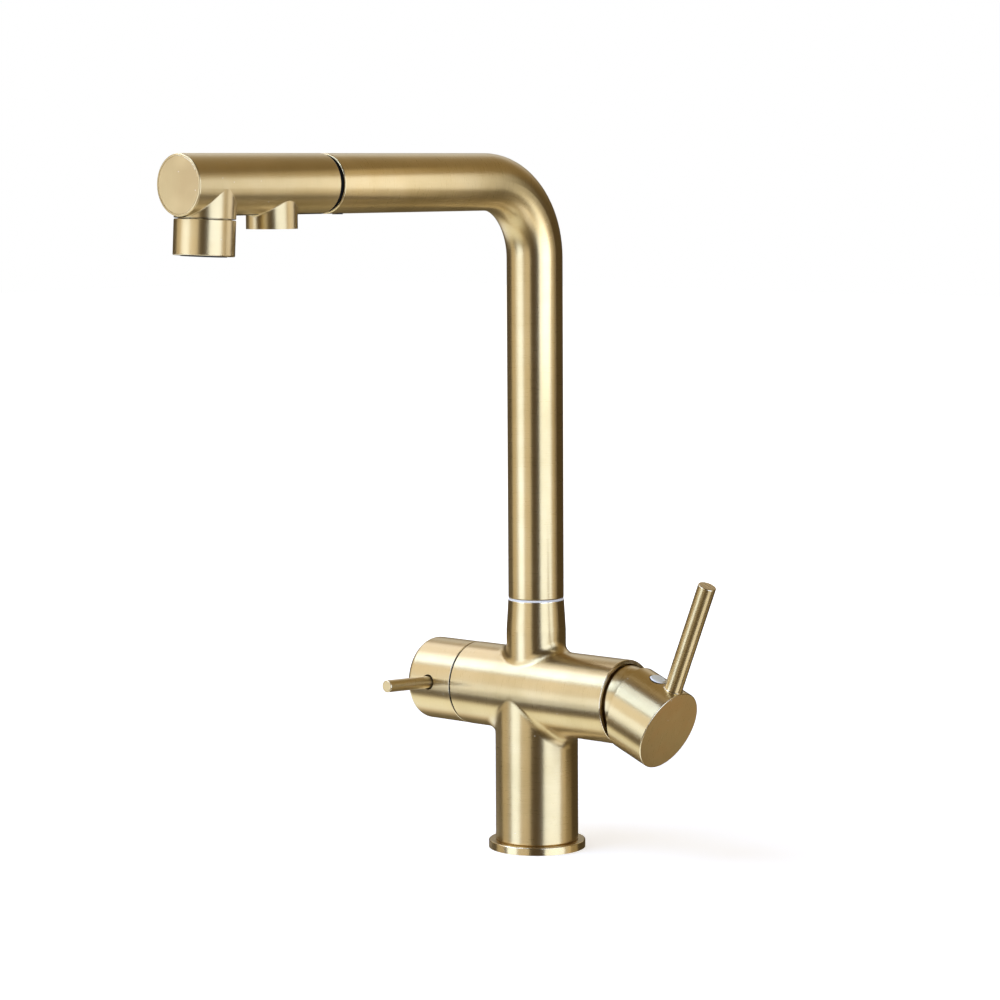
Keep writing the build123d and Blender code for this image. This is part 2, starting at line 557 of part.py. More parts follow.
def handle_cap():
    """Round cap over the cartridge, with a hub for the stem inside."""
    cap = fillet(edges_at(rod(CAP_RADIUS, 0, CAP_FACE), Axis.Z, CAP_FACE), CAP_ROUND)
    cap -= rod(CAP_BORE_RADIUS, -OVER, CAP_FLOOR)
    cap -= cap_edge_cut()
    cap += rod(HUB_RADIUS, CAP_FLOOR - HUB_LENGTH, CAP_FLOOR + OVER)
    socket = STEM_WIDTH + 2 * THREAD
    cap -= block(socket, socket, 0, STEM_LENGTH + SEAT)
    lever_place = Pos(0, 0, LEVER_OFFSET) * UP_FROM_BARREL
    cap -= lever_place * rod(LEVER_FOOT_RADIUS + SLIDE, LEVER_SEAT, CAP_RADIUS + OVER)
    cap -= lever_place * rod(LEVER_STUD_RADIUS + BRAZE, LEVER_SEAT - LEVER_STUD_LENGTH - SEAT, CAP_RADIUS)
    plug_place = Pos(0, 0, PLUG_OFFSET) * UP_FROM_BARREL
    cap -= plug_place * rod(PLUG_RADIUS + PLUG_CLEARANCE, PLUG_SEAT, CAP_RADIUS + OVER)
    cap -= plug_place * rod(PLUG_PEG_RADIUS, CAP_BORE_RADIUS - OVER, CAP_RADIUS)
    return HANDLE * (cap - plug_place * rod(GRUB_RADIUS + BRAZE, 0, HUB_RADIUS + OVER))


def handle_lever():
    """Turned rod of the handle, screwed into the cap by its stud."""
    foot_top = LEVER_SEAT + LEVER_FOOT_HEIGHT
    shaft = rod(LEVER_RADIUS, foot_top, LEVER_TOP)
    shaft = fillet(edges_at(shaft, Axis.Z, LEVER_TOP), LEVER_ROUND)
    foot = rod(LEVER_FOOT_RADIUS, LEVER_SEAT, foot_top)
    foot = chamfer(edges_at(foot, Axis.Z, foot_top), SEAT)
    stud = rod(LEVER_STUD_RADIUS, LEVER_SEAT - LEVER_STUD_LENGTH, LEVER_SEAT)
    return HANDLE * Pos(0, 0, LEVER_OFFSET) * UP_FROM_BARREL * (stud + foot + shaft)


def index_plug():
    """Round plug pressed into the cap, over the hole of its screw."""
    top = CAP_RADIUS + PLUG_RISE
    plug = rod(PLUG_RADIUS, PLUG_SEAT, top)
    plug = chamfer(edges_at(plug, Axis.Z, top), PLUG_CHAMFER)
    plug += rod(PLUG_PEG_RADIUS - BRAZE, CAP_RADIUS - PLUG_PEG_DEPTH, PLUG_SEAT)
    return HANDLE * Pos(0, 0, PLUG_OFFSET) * UP_FROM_BARREL * plug


def handle_grub_screw():
    """Headless screw through the hub, against the stem."""
    start = STEM_WIDTH / 2 + SLIDE
    screw = grub_screw(GRUB_RADIUS, start, start + HANDLE_GRUB_LENGTH)
    return HANDLE * Pos(0, 0, PLUG_OFFSET) * UP_FROM_BARREL * screw


# ---------------------------------------------------------------- filter valve and knob
VALVE_DISC_START = VALVE_SEAT + VALVE_SEAL_THICKNESS
VALVE_MOVING_START = VALVE_DISC_START + VALVE_DISC_THICKNESS + SLIDE
VALVE_DRIVER_START = VALVE_MOVING_START + VALVE_DISC_THICKNESS + SLIDE
VALVE_CHAMBER_END = VALVE_SEAT + VALVE_CHAMBER_LENGTH


def valve_port(radius, start, end):
    """The port of the filter valve, below its axis."""
    return Pos(-VALVE_PORT_HEIGHT, 0, 0) * rod(radius, start, end)


def filter_valve_body():
    """Brass headwork of the filter valve, screwed into the barrel by its hexagon."""
    tip_end = VALVE_SEAT + VALVE_TIP_LENGTH
    valve = rod(VALVE_TIP_RADIUS, VALVE_DISC_START, tip_end)
    valve += rod(VALVE_RADIUS, tip_end, VALVE_SHOULDER)
    valve += hexagon(VALVE_HEX, VALVE_SHOULDER, VALVE_SHOULDER + VALVE_HEX_HEIGHT)
    valve += rod(VALVE_NECK_RADIUS, VALVE_SHOULDER, VALVE_NECK_END)
    valve -= rod(VALVE_DISC_RADIUS + THREAD, VALVE_SEAT, VALVE_CHAMBER_END)
    valve -= rod(SPINDLE_RADIUS + RUNNING, VALVE_SEAT, VALVE_NECK_END + OVER)
    window = block(3 * VALVE_TIP_RADIUS, VALVE_WINDOW_WIDTH, VALVE_DRIVER_START, tip_end - SEAT)
    return LEFT * (valve - window)


def filter_valve_seal():
    """Rubber pad between the valve and its seat, open at the inlet."""
    pad = rod(VALVE_DISC_RADIUS, VALVE_SEAT, VALVE_DISC_START)
    return LEFT * (pad - valve_port(FILTER_WAY_RADIUS, 0, VALVE_DISC_START + OVER))


def filter_fixed_disc():
    """Ceramic disc that stays, with one port."""
    disc = rod(VALVE_DISC_RADIUS, VALVE_DISC_START, VALVE_DISC_START + VALVE_DISC_THICKNESS)
    return LEFT * (disc - valve_port(VALVE_PORT_RADIUS, 0, VALVE_DRIVER_START))


def filter_moving_disc():
    """Ceramic disc that turns with the spindle; its port is over the other one when open."""
    disc = rod(VALVE_DISC_RADIUS, VALVE_MOVING_START, VALVE_DRIVER_START - SLIDE)
    return LEFT * (disc - valve_port(VALVE_PORT_RADIUS, 0, VALVE_DRIVER_START))


SPINDLE_SEAL_PLACE = VALVE_SHOULDER - SPINDLE_SEAL_DEPTH
SPINDLE_SEAL_CENTRE = SPINDLE_RADIUS + RUNNING - SLIDE - SMALL_SEAL_SECTION


def filter_spindle():
    """Steel spindle: a driver blade at the discs, a groove for its seal, a flat in the knob."""
    blade_end = VALVE_CHAMBER_END - SLIDE
    spindle = block(SPINDLE_BLADE_THICKNESS, SPINDLE_BLADE_WIDTH, VALVE_DRIVER_START, blade_end)
    spindle += rod(SPINDLE_RADIUS, blade_end, SPINDLE_END)
    groove_radius = SPINDLE_SEAL_CENTRE - SMALL_SEAL_SECTION - SLIDE
    half = SMALL_SEAL_SECTION + THREAD
    groove = ring(SPINDLE_RADIUS + OVER, groove_radius, -half, half)
    spindle -= Pos(0, 0, SPINDLE_SEAL_PLACE) * groove
    flat_start = VALVE_NECK_END + SPINDLE_FLAT_START
    flat = block(2 * SPINDLE_RADIUS, 3 * SPINDLE_RADIUS, flat_start, SPINDLE_END + OVER)
    flat = Pos(SPINDLE_FLAT_DEPTH - 2 * SPINDLE_RADIUS, 0, 0) * flat
    return KNOB * (spindle - flat)


def spindle_o_ring():
    """Seal between the spindle and the valve's neck."""
    return KNOB * o_ring(SPINDLE_SEAL_CENTRE, SMALL_SEAL_SECTION, SPINDLE_SEAL_PLACE)


KNOB_FLOOR = KNOB_END - KNOB_FACE_THICKNESS
TO_LEVER = Pos(0, 0, KNOB_START + KNOB_LEVER_INSET) * Rot(90, 0, 0)         # +Z along its lever
TO_KNOB_SCREW = Pos(0, 0, KNOB_START + KNOB_GRUB_INSET) * Rot(0, -90, 0)    # +Z down
KNOB_LEVER_SEAT = KNOB_HUB_RADIUS - KNOB_LEVER_SEAT_DEPTH


def filter_knob():
    """Turned cup over the filter valve, with a hub for the spindle inside."""
    knob = rod(KNOB_RADIUS, KNOB_START, KNOB_END)
    knob = fillet(edges_at(knob, Axis.Z, KNOB_END), KNOB_FILLET)
    knob = fillet(edges_at(knob, Axis.Z, KNOB_START), RIM_ROUND)
    knob -= rod(KNOB_RADIUS - KNOB_WALL, KNOB_START - OVER, KNOB_FLOOR)
    knob += rod(KNOB_HUB_RADIUS, KNOB_FLOOR - KNOB_HUB_LENGTH, KNOB_FLOOR + OVER)
    knob -= rod(SPINDLE_RADIUS + BRAZE, KNOB_START, KNOB_FLOOR)
    knob -= TO_LEVER * rod(KNOB_LEVER_HOLE, KNOB_LEVER_SEAT, KNOB_RADIUS + OVER)
    knob -= TO_LEVER * rod(KNOB_STUD_RADIUS + BRAZE, 0, KNOB_RADIUS)
    knob -= TO_KNOB_SCREW * rod(SMALL_GRUB_RADIUS + BRAZE, 0, KNOB_HUB_RADIUS + OVER)
    return KNOB * (knob - TO_KNOB_SCREW * rod(KNOB_GRUB_HOLE, KNOB_HUB_RADIUS, KNOB_RADIUS + OVER))


def filter_lever():
    """Thin turned rod of the knob, screwed into the hub through the hole in the wall."""
    shaft = rod(KNOB_LEVER_RADIUS, KNOB_LEVER_SEAT, KNOB_LEVER_REACH)
    shaft = fillet(edges_at(shaft, Axis.Z, KNOB_LEVER_REACH), KNOB_TIP_ROUND)
    stud = rod(KNOB_STUD_RADIUS, SPINDLE_RADIUS + SEAT, KNOB_LEVER_SEAT)
    return KNOB * TO_LEVER * (stud + shaft)


def knob_grub_screw():
    """Headless screw through the hub, against the flat of the spindle."""
    start = SPINDLE_RADIUS - SPINDLE_FLAT_DEPTH + SLIDE
    screw = grub_screw(SMALL_GRUB_RADIUS, start, start + SMALL_GRUB_LENGTH)
    return KNOB * TO_KNOB_SCREW * screw


# ---------------------------------------------------------------- spout
def spout_path(start_height, reach):
    """Centre line of the spout: up the riser, round the bend, along the arm."""
    bend_start = ARM_HEIGHT - BEND_RADIUS
    riser = Line((0, 0, start_height), (0, 0, bend_start))
    bend = TangentArc((0, 0, bend_start), (0, -BEND_RADIUS, ARM_HEIGHT), tangent=(0, 0, 1))
    arm = Line((0, -BEND_RADIUS, ARM_HEIGHT), (0, -reach, ARM_HEIGHT))
    return Wire([riser, bend, arm])


def swept(radius, start_height, reach):
    """A round bar along the spout's centre line."""
    section = Pos(0, 0, start_height) * Circle(radius)
    return sweep(section, path=spout_path(start_height, reach))


def spout_tube():
    """Bent brass tube: riser, bend and arm."""
    bar = swept(TUBE_RADIUS, TUBE_START, TUBE_END)
    bar = fillet(edges_at(bar, Axis.Y, -TUBE_END) + edges_at(bar, Axis.Z, TUBE_START), TUBE_ROUND)
    tube = bar - swept(TUBE_BORE, TUBE_START, TUBE_END)
    return tube - HEAD_SCREW * rod(GRUB_RADIUS, 0, TUBE_RADIUS + OVER)


def seal_groove(outer, centre, place):
    """The ring cut out of a spigot for an o-ring."""
    half = SEAL_GROOVE / 2
    return ring(outer + OVER, centre - SEAL_SECTION - SLIDE, place - half, place + half)


SPOUT_SEAL_CENTRE = NECK_BORE_RADIUS - SLIDE - SEAL_SECTION
SPIGOT_START = NECK_FLOOR + SPOUT_SPIGOT_LIFT


def spout_spigot():
    """Brass foot of the spout: it turns in the neck and is brazed into the tube."""
    radius = NECK_BORE_RADIUS - RUNNING
    spigot = rod(radius, SPIGOT_START, TUBE_START)
    spigot += rod(TUBE_BORE - BRAZE, TUBE_START, TUBE_START + SPOUT_SPIGOT_LENGTH)
    for height in SPOUT_SEAL_HEIGHTS:
        spigot -= seal_groove(radius, SPOUT_SEAL_CENTRE, NECK_FLOOR + height)
    retainer = NECK_TOP - RETAINER_DEPTH
    spigot -= ring(radius + OVER, RETAINER_GROOVE_RADIUS, retainer - RETAINER_GROOVE / 2,
                   retainer + RETAINER_GROOVE / 2)
    return spigot - rod(SPOUT_SPIGOT_BORE, 0, ARM_HEIGHT)


def spout_o_rings():
    """Two seals on the foot of the spout."""
    heights = [NECK_FLOOR + height for height in SPOUT_SEAL_HEIGHTS]
    return Compound([o_ring(SPOUT_SEAL_CENTRE, SEAL_SECTION, height) for height in heights])


LINE_END_REACH = FILTER_OUTLET_REACH - FILTER_POST_RADIUS + LINE_PLUG_DEPTH


def filter_line():
    """Thin tube inside the spout that keeps filtered water apart."""
    start = LINE_SOCKET_FLOOR + LINE_END_LIFT
    return swept(LINE_RADIUS, start, LINE_END_REACH) - swept(LINE_BORE_RADIUS, start, LINE_END_REACH)


def filter_line_seal():
    """Small seal round the foot of the filtered water line."""
    centre = (LINE_RADIUS + LINE_SOCKET_RADIUS) / 2
    return o_ring(centre, SMALL_SEAL_SECTION, LINE_SOCKET_FLOOR + LINE_SEAL_LIFT)


# ---------------------------------------------------------------- outlet head
ADAPTER_SEAL_CENTRE = HEAD_BORE_RADIUS - SLIDE - SEAL_SECTION
ADAPTER_RADIUS = HEAD_BORE_RADIUS - RUNNING
HEAD_FLOOR = HEAD_END - END_CAP_THICKNESS
SPIGOT_END = OUTLET_BOSS_LENGTH + OUTLET_SPIGOT_LENGTH


def head_adapter():
    """Brass sleeve, brazed into the tube, on which the head is pushed."""
    sleeve = rod(TUBE_BORE - BRAZE, TUBE_END - ADAPTER_TUBE_LENGTH, TUBE_END)
    sleeve += rod(ADAPTER_RADIUS, TUBE_END, HEAD_START + ADAPTER_HEAD_LENGTH)
    sleeve -= rod(ADAPTER_BORE_RADIUS, 0, HEAD_END)
    sleeve -= seal_groove(ADAPTER_RADIUS, ADAPTER_SEAL_CENTRE, HEAD_START + ADAPTER_SEAL_REACH)
    return ARM * sleeve - HEAD_SCREW * rod(GRUB_RADIUS, 0, TUBE_RADIUS)


def head_o_ring():
    """Seal between the adapter and the head."""
    return ARM * o_ring(ADAPTER_SEAL_CENTRE, SEAL_SECTION, HEAD_START + ADAPTER_SEAL_REACH)


def head_spacer_ring():
    """Black ring between the tube and the head, set back from both."""
    return ARM * ring(SPACER_RADIUS, ADAPTER_RADIUS + THREAD, TUBE_END, HEAD_START)


def head_grub_screw():
    """Headless screw under the arm that holds the adapter."""
    screw = grub_screw(GRUB_RADIUS - BRAZE, ADAPTER_BORE_RADIUS + SEAT, TUBE_RADIUS + HEAD_SCREW_PROUD)
    return HEAD_SCREW * screw


def head_outside():
    """Outside of the head: a drum in line with the arm and two bosses that point down."""
    drum = rod(HEAD_RADIUS, -HEAD_BACK, HEAD_FRONT)
    head = fillet(drum.edges().filter_by(GeomType.CIRCLE), HEAD_ROUND)
    head += TO_OUTLET * rod(OUTLET_RADIUS, 0, OUTLET_BOSS_LENGTH)
    head += TO_FILTER_OUTLET * rod(FILTER_OUTLET_RADIUS, 0, FILTER_OUTLET_LENGTH)
    creases = [e for e in head.edges() if e.geom_type not in (GeomType.CIRCLE, GeomType.LINE)]
    return fillet(creases, CREASE_FILLET)


def head_bores():
    """The main bore with the cap's seat, the outlet's bore and the insert's cavity."""
    floor = HEAD_FRONT - END_CAP_THICKNESS
    cavity = FILTER_OUTLET_LENGTH - FILTER_INSERT_LENGTH - SEAT
    bores = rod(HEAD_BORE_RADIUS, -HEAD_BACK - OVER, floor + OVER)
    bores += rod(END_CAP_RADIUS, floor, HEAD_FRONT + OVER)
    bores += TO_OUTLET * rod(OUTLET_BORE_RADIUS, 0, SPIGOT_END + OVER)
    insert_end = FILTER_OUTLET_LENGTH + OVER
    return bores + TO_FILTER_OUTLET * rod(FILTER_INSERT_RADIUS + BRAZE, cavity, insert_end)


def outlet_head():
    """Cast head with two separate ways, for mixed water in front and filtered water behind."""
    head = head_outside() + TO_OUTLET * rod(OUTLET_SPIGOT_RADIUS, 0, SPIGOT_END) - head_bores()
    # a post across the bore takes the filtered water line from the arm to its outlet
    post_end = HEAD_BORE_RADIUS + OVER
    head += TO_FILTER_OUTLET * rod(FILTER_POST_RADIUS, -post_end, post_end)
    head -= TO_FILTER_OUTLET * rod(LINE_BORE_RADIUS, -LINE_RADIUS, FILTER_OUTLET_LENGTH)
    line_end = LINE_END_REACH - OUTLET_REACH
    head -= rod(LINE_RADIUS + BRAZE, -OUTLET_PITCH - 2 * FILTER_POST_RADIUS, line_end)
    return HEAD * (head - rod(LINE_BORE_RADIUS, line_end - OVER, -OUTLET_PITCH))


def head_end_cap():
    """Flat disc pressed into the front of the head."""
    disc = rod(END_CAP_RADIUS - BRAZE, HEAD_FLOOR, HEAD_END)
    return ARM * fillet(edges_at(disc, Axis.Z, HEAD_END), END_CAP_ROUND)


COLLAR_START = OUTLET_BOSS_LENGTH + COLLAR_GAP
COLLAR_END = COLLAR_START + COLLAR_LENGTH
AERATOR_START = COLLAR_END - COLLAR_LIP - AERATOR_LENGTH


def aerator_collar():
    """Turned collar, screwed to the head, that holds the aerator."""
    collar = rod(OUTLET_RADIUS, COLLAR_START, COLLAR_END)
    collar = fillet(collar.edges().filter_by(GeomType.CIRCLE), COLLAR_ROUND)
    collar -= rod(OUTLET_SPIGOT_RADIUS + THREAD, COLLAR_START - OVER, SPIGOT_END + SEAT)
    collar -= rod(AERATOR_RADIUS + THREAD, COLLAR_START, COLLAR_END - COLLAR_LIP)
    collar -= rod(AERATOR_RADIUS - COLLAR_LIP + THREAD, COLLAR_START, COLLAR_END + OVER)
    return HEAD * TO_OUTLET * collar


def holes(radius, pitch, start, end):
    """Round holes in a hexagonal pattern, one in the middle and six more in each ring."""
    places = [(0.0, 0.0)]
    for index in range(1, HOLE_RINGS + 1):
        for step in range(6 * index):
            angle = radians(60 * step / index)
            places.append((index * pitch * cos(angle), index * pitch * sin(angle)))
    return [Pos(x, y, 0) * rod(radius, start, end) for x, y in places]


def aerator_insert():
    """Plastic aerator, with a screen of round holes in its nose."""
    end = COLLAR_END - COLLAR_LIP
    insert = rod(AERATOR_RADIUS, AERATOR_START, end)
    insert += rod(AERATOR_RADIUS - COLLAR_LIP, end, COLLAR_END + SEAT)
    insert -= rod(AERATOR_RADIUS - AERATOR_WALL, AERATOR_START - OVER, end - AERATOR_SCREEN)
    for hole in holes(AERATOR_HOLE_RADIUS, AERATOR_HOLE_PITCH, AERATOR_START, COLLAR_END + OVER):
        insert -= hole
    return HEAD * TO_OUTLET * insert


def aerator_washer():
    """Rubber washer between the aerator and the head."""
    washer = ring(AERATOR_RADIUS, WASHER_BORE_RADIUS, SPIGOT_END + SLIDE, AERATOR_START)
    return HEAD * TO_OUTLET * washer


def filter_outlet_insert():
    """Plastic jet straightener in the filtered water outlet."""
    end = FILTER_OUTLET_LENGTH - SEAT
    insert = rod(FILTER_INSERT_RADIUS, FILTER_OUTLET_LENGTH - FILTER_INSERT_LENGTH - SEAT, end)
    insert -= rod(FILTER_INSERT_RADIUS - FILTER_INSERT_WALL, 0, end - FILTER_INSERT_SCREEN)
    for hole in holes(FILTER_HOLE_RADIUS, FILTER_HOLE_PITCH, 0, end + OVER):
        insert -= hole
    return HEAD * TO_FILTER_OUTLET * insert


# ---------------------------------------------------------------- all pieces, by name
PIECES = [
    body_casting, base_flange, base_gasket, swivel_ring, spout_retaining_screw,
    cartridge_housing, cartridge_seals, fixed_ceramic_disc, cartridge_nut, cartridge_shroud,
    filter_valve_body, filter_valve_seal, filter_fixed_disc,
    cartridge_rotor, stem_pin,
    moving_ceramic_disc, disc_slider,
    cartridge_stem, handle_cap, handle_lever, index_plug, handle_grub_screw,
    filter_knob, filter_lever, filter_spindle, filter_moving_disc, spindle_o_ring, knob_grub_screw,
    spout_tube, spout_spigot, spout_o_rings, filter_line, filter_line_seal,
    head_adapter, head_o_ring, head_spacer_ring, head_grub_screw,
    outlet_head, head_end_cap, aerator_collar, aerator_insert, aerator_washer,
    filter_outlet_insert,
]

os.makedirs("parts", exist_ok=True)
for piece in PIECES:
    export_step(piece(), f"parts/{piece.__name__}.step")
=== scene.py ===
import json
from math import cos, pi, radians, sin, tan

import bmesh
import bpy
from mathutils import Matrix, Vector


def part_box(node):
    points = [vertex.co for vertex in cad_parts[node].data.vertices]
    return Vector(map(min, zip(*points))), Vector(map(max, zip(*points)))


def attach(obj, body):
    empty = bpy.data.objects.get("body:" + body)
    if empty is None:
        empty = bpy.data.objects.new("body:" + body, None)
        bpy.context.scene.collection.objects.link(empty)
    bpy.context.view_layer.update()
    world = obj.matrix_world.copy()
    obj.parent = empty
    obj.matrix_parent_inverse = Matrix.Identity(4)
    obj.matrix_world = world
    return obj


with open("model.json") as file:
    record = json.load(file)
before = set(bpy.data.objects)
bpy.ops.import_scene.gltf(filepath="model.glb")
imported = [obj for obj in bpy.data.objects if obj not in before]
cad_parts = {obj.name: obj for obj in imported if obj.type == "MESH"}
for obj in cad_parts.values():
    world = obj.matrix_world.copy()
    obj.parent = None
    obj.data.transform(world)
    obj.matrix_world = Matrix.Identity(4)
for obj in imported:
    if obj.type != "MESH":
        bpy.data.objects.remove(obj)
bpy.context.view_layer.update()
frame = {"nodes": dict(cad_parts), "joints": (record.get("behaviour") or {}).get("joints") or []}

MM = 0.001
joints = {joint["name"]: joint for joint in frame["joints"]}


# ------------------------------------------------------------------ camera
# The camera stands in front of the tap and to its right, a little above the spout's bend,
# with a long lens, so that the arm comes towards it and to the left.
CAMERA_AZIMUTH = radians(41.11)
CAMERA_TILT = radians(5.91)
CAMERA_ROLL = radians(-0.32)
CAMERA_DISTANCE = 1601.04 * MM
AIM_HEIGHT = 176.76 * MM
AIM_SHIFT = -17.93 * MM
LENS_MM = 114.66
SENSOR_MM = 36

back = Vector((
    sin(CAMERA_AZIMUTH) * cos(CAMERA_TILT),
    -cos(CAMERA_AZIMUTH) * cos(CAMERA_TILT),
    sin(CAMERA_TILT)))
right = Vector((cos(CAMERA_AZIMUTH), sin(CAMERA_AZIMUTH), 0))
aim = right * AIM_SHIFT + Vector((0, 0, AIM_HEIGHT))
level_view = Matrix((right, back.cross(right), back)).transposed()
camera_data = bpy.data.cameras.new("photo_camera")
camera_data.lens = LENS_MM
camera_data.sensor_width = SENSOR_MM
camera = bpy.data.objects.new("photo_camera", camera_data)
camera.matrix_world = Matrix.Translation(aim + back * CAMERA_DISTANCE) @ (
    Matrix.Rotation(CAMERA_ROLL, 3, back) @ level_view).to_4x4()
bpy.context.collection.objects.link(camera)
bpy.context.scene.camera = camera
bpy.context.scene.view_settings.view_transform = "Standard"


# ------------------------------------------------------------------ studio
# A dim, warm room with a pale ground and back wall, which the camera itself sees as plain
# white. Soft boxes stand round the tap. The gap between those at the camera's left and those
# at its right makes the dark line down the middle of every upright tube.
def linear(hex_colour):
    """An sRGB hex colour as linear red, green, blue and alpha."""
    shares = [int(hex_colour[place:place + 2], 16) / 255 for place in (1, 3, 5)]
    return [s / 12.92 if s <= 0.04045 else ((s + 0.055) / 1.055) ** 2.4 for s in shares] + [1]


def add_node(tree, kind, inputs=None, output=0, **settings):
    """Adds a node with its settings and inputs, and returns one of its outputs."""
    node = tree.nodes.new("ShaderNode" + kind)
    for name, value in settings.items():
        setattr(node, name, value)
    for name, value in (inputs or {}).items():
        if isinstance(value, bpy.types.NodeSocket):
            tree.links.new(value, node.inputs[name])
        else:
            node.inputs[name].default_value = value
    return node.outputs[output] if node.outputs else None


ROOM_GREY = 0.09
CEILING_LIGHT = 0.25
BACK_WALL_LIGHT = 0.8
LOW_LIGHT = 0.05
PALE_GROUND_LIGHT = 1.3
ROOM_TINT = "#FFE0A4"            # the dark room around the boxes is warm
PALE_TINT = "#F2FAFF"            # its pale ground and back wall are cool, as the strong boxes are
# Where each of them begins and where it is full, in the parts of a unit vector that points
# there: its part towards the camera, its part upwards and its part to the camera's right.
WALL_TOWARDS = (-0.6, -0.9)
WALL_UP = (0.15, 0.45)           # the ceiling's too
CEILING_TOWARDS = (0.35, -0.1)
LOW_UP = (-0.44, -0.62)
GROUND_UP = (-0.57, -0.68)
GROUND_TILT = 0.45               # beyond the tap the pale ground reaches higher
GROUND_RIGHT = (-0.25, -0.55)
GROUND_BELOW = (-0.82, -0.97)    # straight below it is pale all round

world = bpy.data.worlds.new("studio_room")
world.use_nodes = True
bpy.context.scene.world = world
tree = world.node_tree
tree.nodes.clear()
away = add_node(tree, "TexCoord", output="Generated")
ahead = add_node(tree, "VectorMath", {0: away, 1: back}, "Value", operation="DOT_PRODUCT")
aside = add_node(tree, "VectorMath", {0: away, 1: right}, "Value", operation="DOT_PRODUCT")
rise = add_node(tree, "SeparateXYZ", {0: away}, "Z")
behind = add_node(tree, "MapRange", {0: ahead, 1: WALL_TOWARDS[0], 2: WALL_TOWARDS[1]},
                  interpolation_type="SMOOTHSTEP")
high = add_node(tree, "MapRange", {0: rise, 1: WALL_UP[0], 2: WALL_UP[1]},
                interpolation_type="SMOOTHSTEP")
wall = add_node(tree, "Math", {0: behind, 1: high}, operation="MULTIPLY")
room = add_node(tree, "Math", {0: wall, 1: BACK_WALL_LIGHT, 2: ROOM_GREY},
                operation="MULTIPLY_ADD")
overhead = add_node(tree, "MapRange", {0: ahead, 1: CEILING_TOWARDS[0], 2: CEILING_TOWARDS[1]},
                    interpolation_type="SMOOTHSTEP")
overhead = add_node(tree, "Math", {0: high, 1: overhead}, operation="MULTIPLY")
room = add_node(tree, "Math", {0: overhead, 1: CEILING_LIGHT, 2: room}, operation="MULTIPLY_ADD")
low = add_node(tree, "MapRange", {0: rise, 1: LOW_UP[0], 2: LOW_UP[1]},
               interpolation_type="SMOOTHSTEP")
room = add_node(tree, "Math", {0: low, 1: LOW_LIGHT, 2: room}, operation="MULTIPLY_ADD")
beyond = add_node(tree, "Math", {0: ahead, 1: 0.0}, operation="MINIMUM")
fall = add_node(tree, "Math", {0: beyond, 1: GROUND_TILT, 2: rise}, operation="MULTIPLY_ADD")
pale = add_node(tree, "MapRange", {0: fall, 1: GROUND_UP[0], 2: GROUND_UP[1]},
                interpolation_type="SMOOTHSTEP")
left = add_node(tree, "MapRange", {0: aside, 1: GROUND_RIGHT[0], 2: GROUND_RIGHT[1]},
                interpolation_type="SMOOTHSTEP")
below = add_node(tree, "MapRange", {0: rise, 1: GROUND_BELOW[0], 2: GROUND_BELOW[1]},
                 interpolation_type="SMOOTHSTEP")
ground = add_node(tree, "Math", {0: pale, 1: left}, operation="MULTIPLY")
ground = add_node(tree, "Math", {0: ground, 1: below}, operation="MAXIMUM")
room = add_node(tree, "Math", {0: ground, 1: PALE_GROUND_LIGHT, 2: room},
                operation="MULTIPLY_ADD")
seen = add_node(tree, "LightPath", output="Is Camera Ray")
through = add_node(tree, "LightPath", output="Is Transmission Ray")
white = add_node(tree, "Math", {0: seen, 1: through}, operation="MAXIMUM")
light = add_node(tree, "Mix", {0: white, 2: room, 3: 1.0})
cool = add_node(tree, "Math", {0: ground, 1: wall}, operation="MAXIMUM")
tint = add_node(tree, "Mix", {0: cool, 6: linear(ROOM_TINT), 7: linear(PALE_TINT)}, 2,
                data_type="RGBA")
tint = add_node(tree, "Mix", {0: white, 6: tint, 7: linear("#FFFFFF")}, 2, data_type="RGBA")
background = add_node(tree, "Background", {"Color": tint, "Strength": light})
add_node(tree, "OutputWorld", {"Surface": background})

WEAK_BOX_COLOUR = Vector((1.0, 0.79, 0.34))
STRONG_BOX_COLOUR = Vector((0.84, 1.075, 1.68))    # the strongest boxes look the coolest
STRONG_BOX = 2.4
BOX_DISTANCE = 2.4
TAP_MIDDLE = (0, 0, 0.15)
CAP_BOX_DISTANCE = 0.25          # the near boxes light mostly the piece that they stand round
CAP_MIDDLE = (0.08, 0, 0.08)
ARM_BOX_DISTANCE = 0.2
ARM_MIDDLE = (0, -0.165, 0.336)


def soft_box(name, bearings, lifts, brightness, distance=BOX_DISTANCE, centre=TAP_MIDDLE):
    """A lamp that fills a range of angles to the right of the camera, and one above the level."""
    turn = CAMERA_AZIMUTH + radians(sum(bearings) / 2)
    lift = radians(sum(lifts) / 2)
    towards = Vector((sin(turn) * cos(lift), -cos(turn) * cos(lift), sin(lift)))
    lamp = bpy.data.lights.new(name, "AREA")
    lamp.shape = "RECTANGLE"
    lamp.size = 2 * distance * tan(radians(bearings[1] - bearings[0]) / 2) * cos(lift)
    lamp.size_y = 2 * distance * tan(radians(lifts[1] - lifts[0]) / 2)
    lamp.energy = brightness * pi * lamp.size * lamp.size_y
    lamp.color = WEAK_BOX_COLOUR.lerp(STRONG_BOX_COLOUR, brightness / STRONG_BOX)
    box = bpy.data.objects.new(name, lamp)
    box.matrix_world = Matrix.Translation(Vector(centre) + towards * distance) @ (
        towards.to_track_quat("Z", "Y").to_matrix().to_4x4())
    box.visible_camera = False
    bpy.context.collection.objects.link(box)


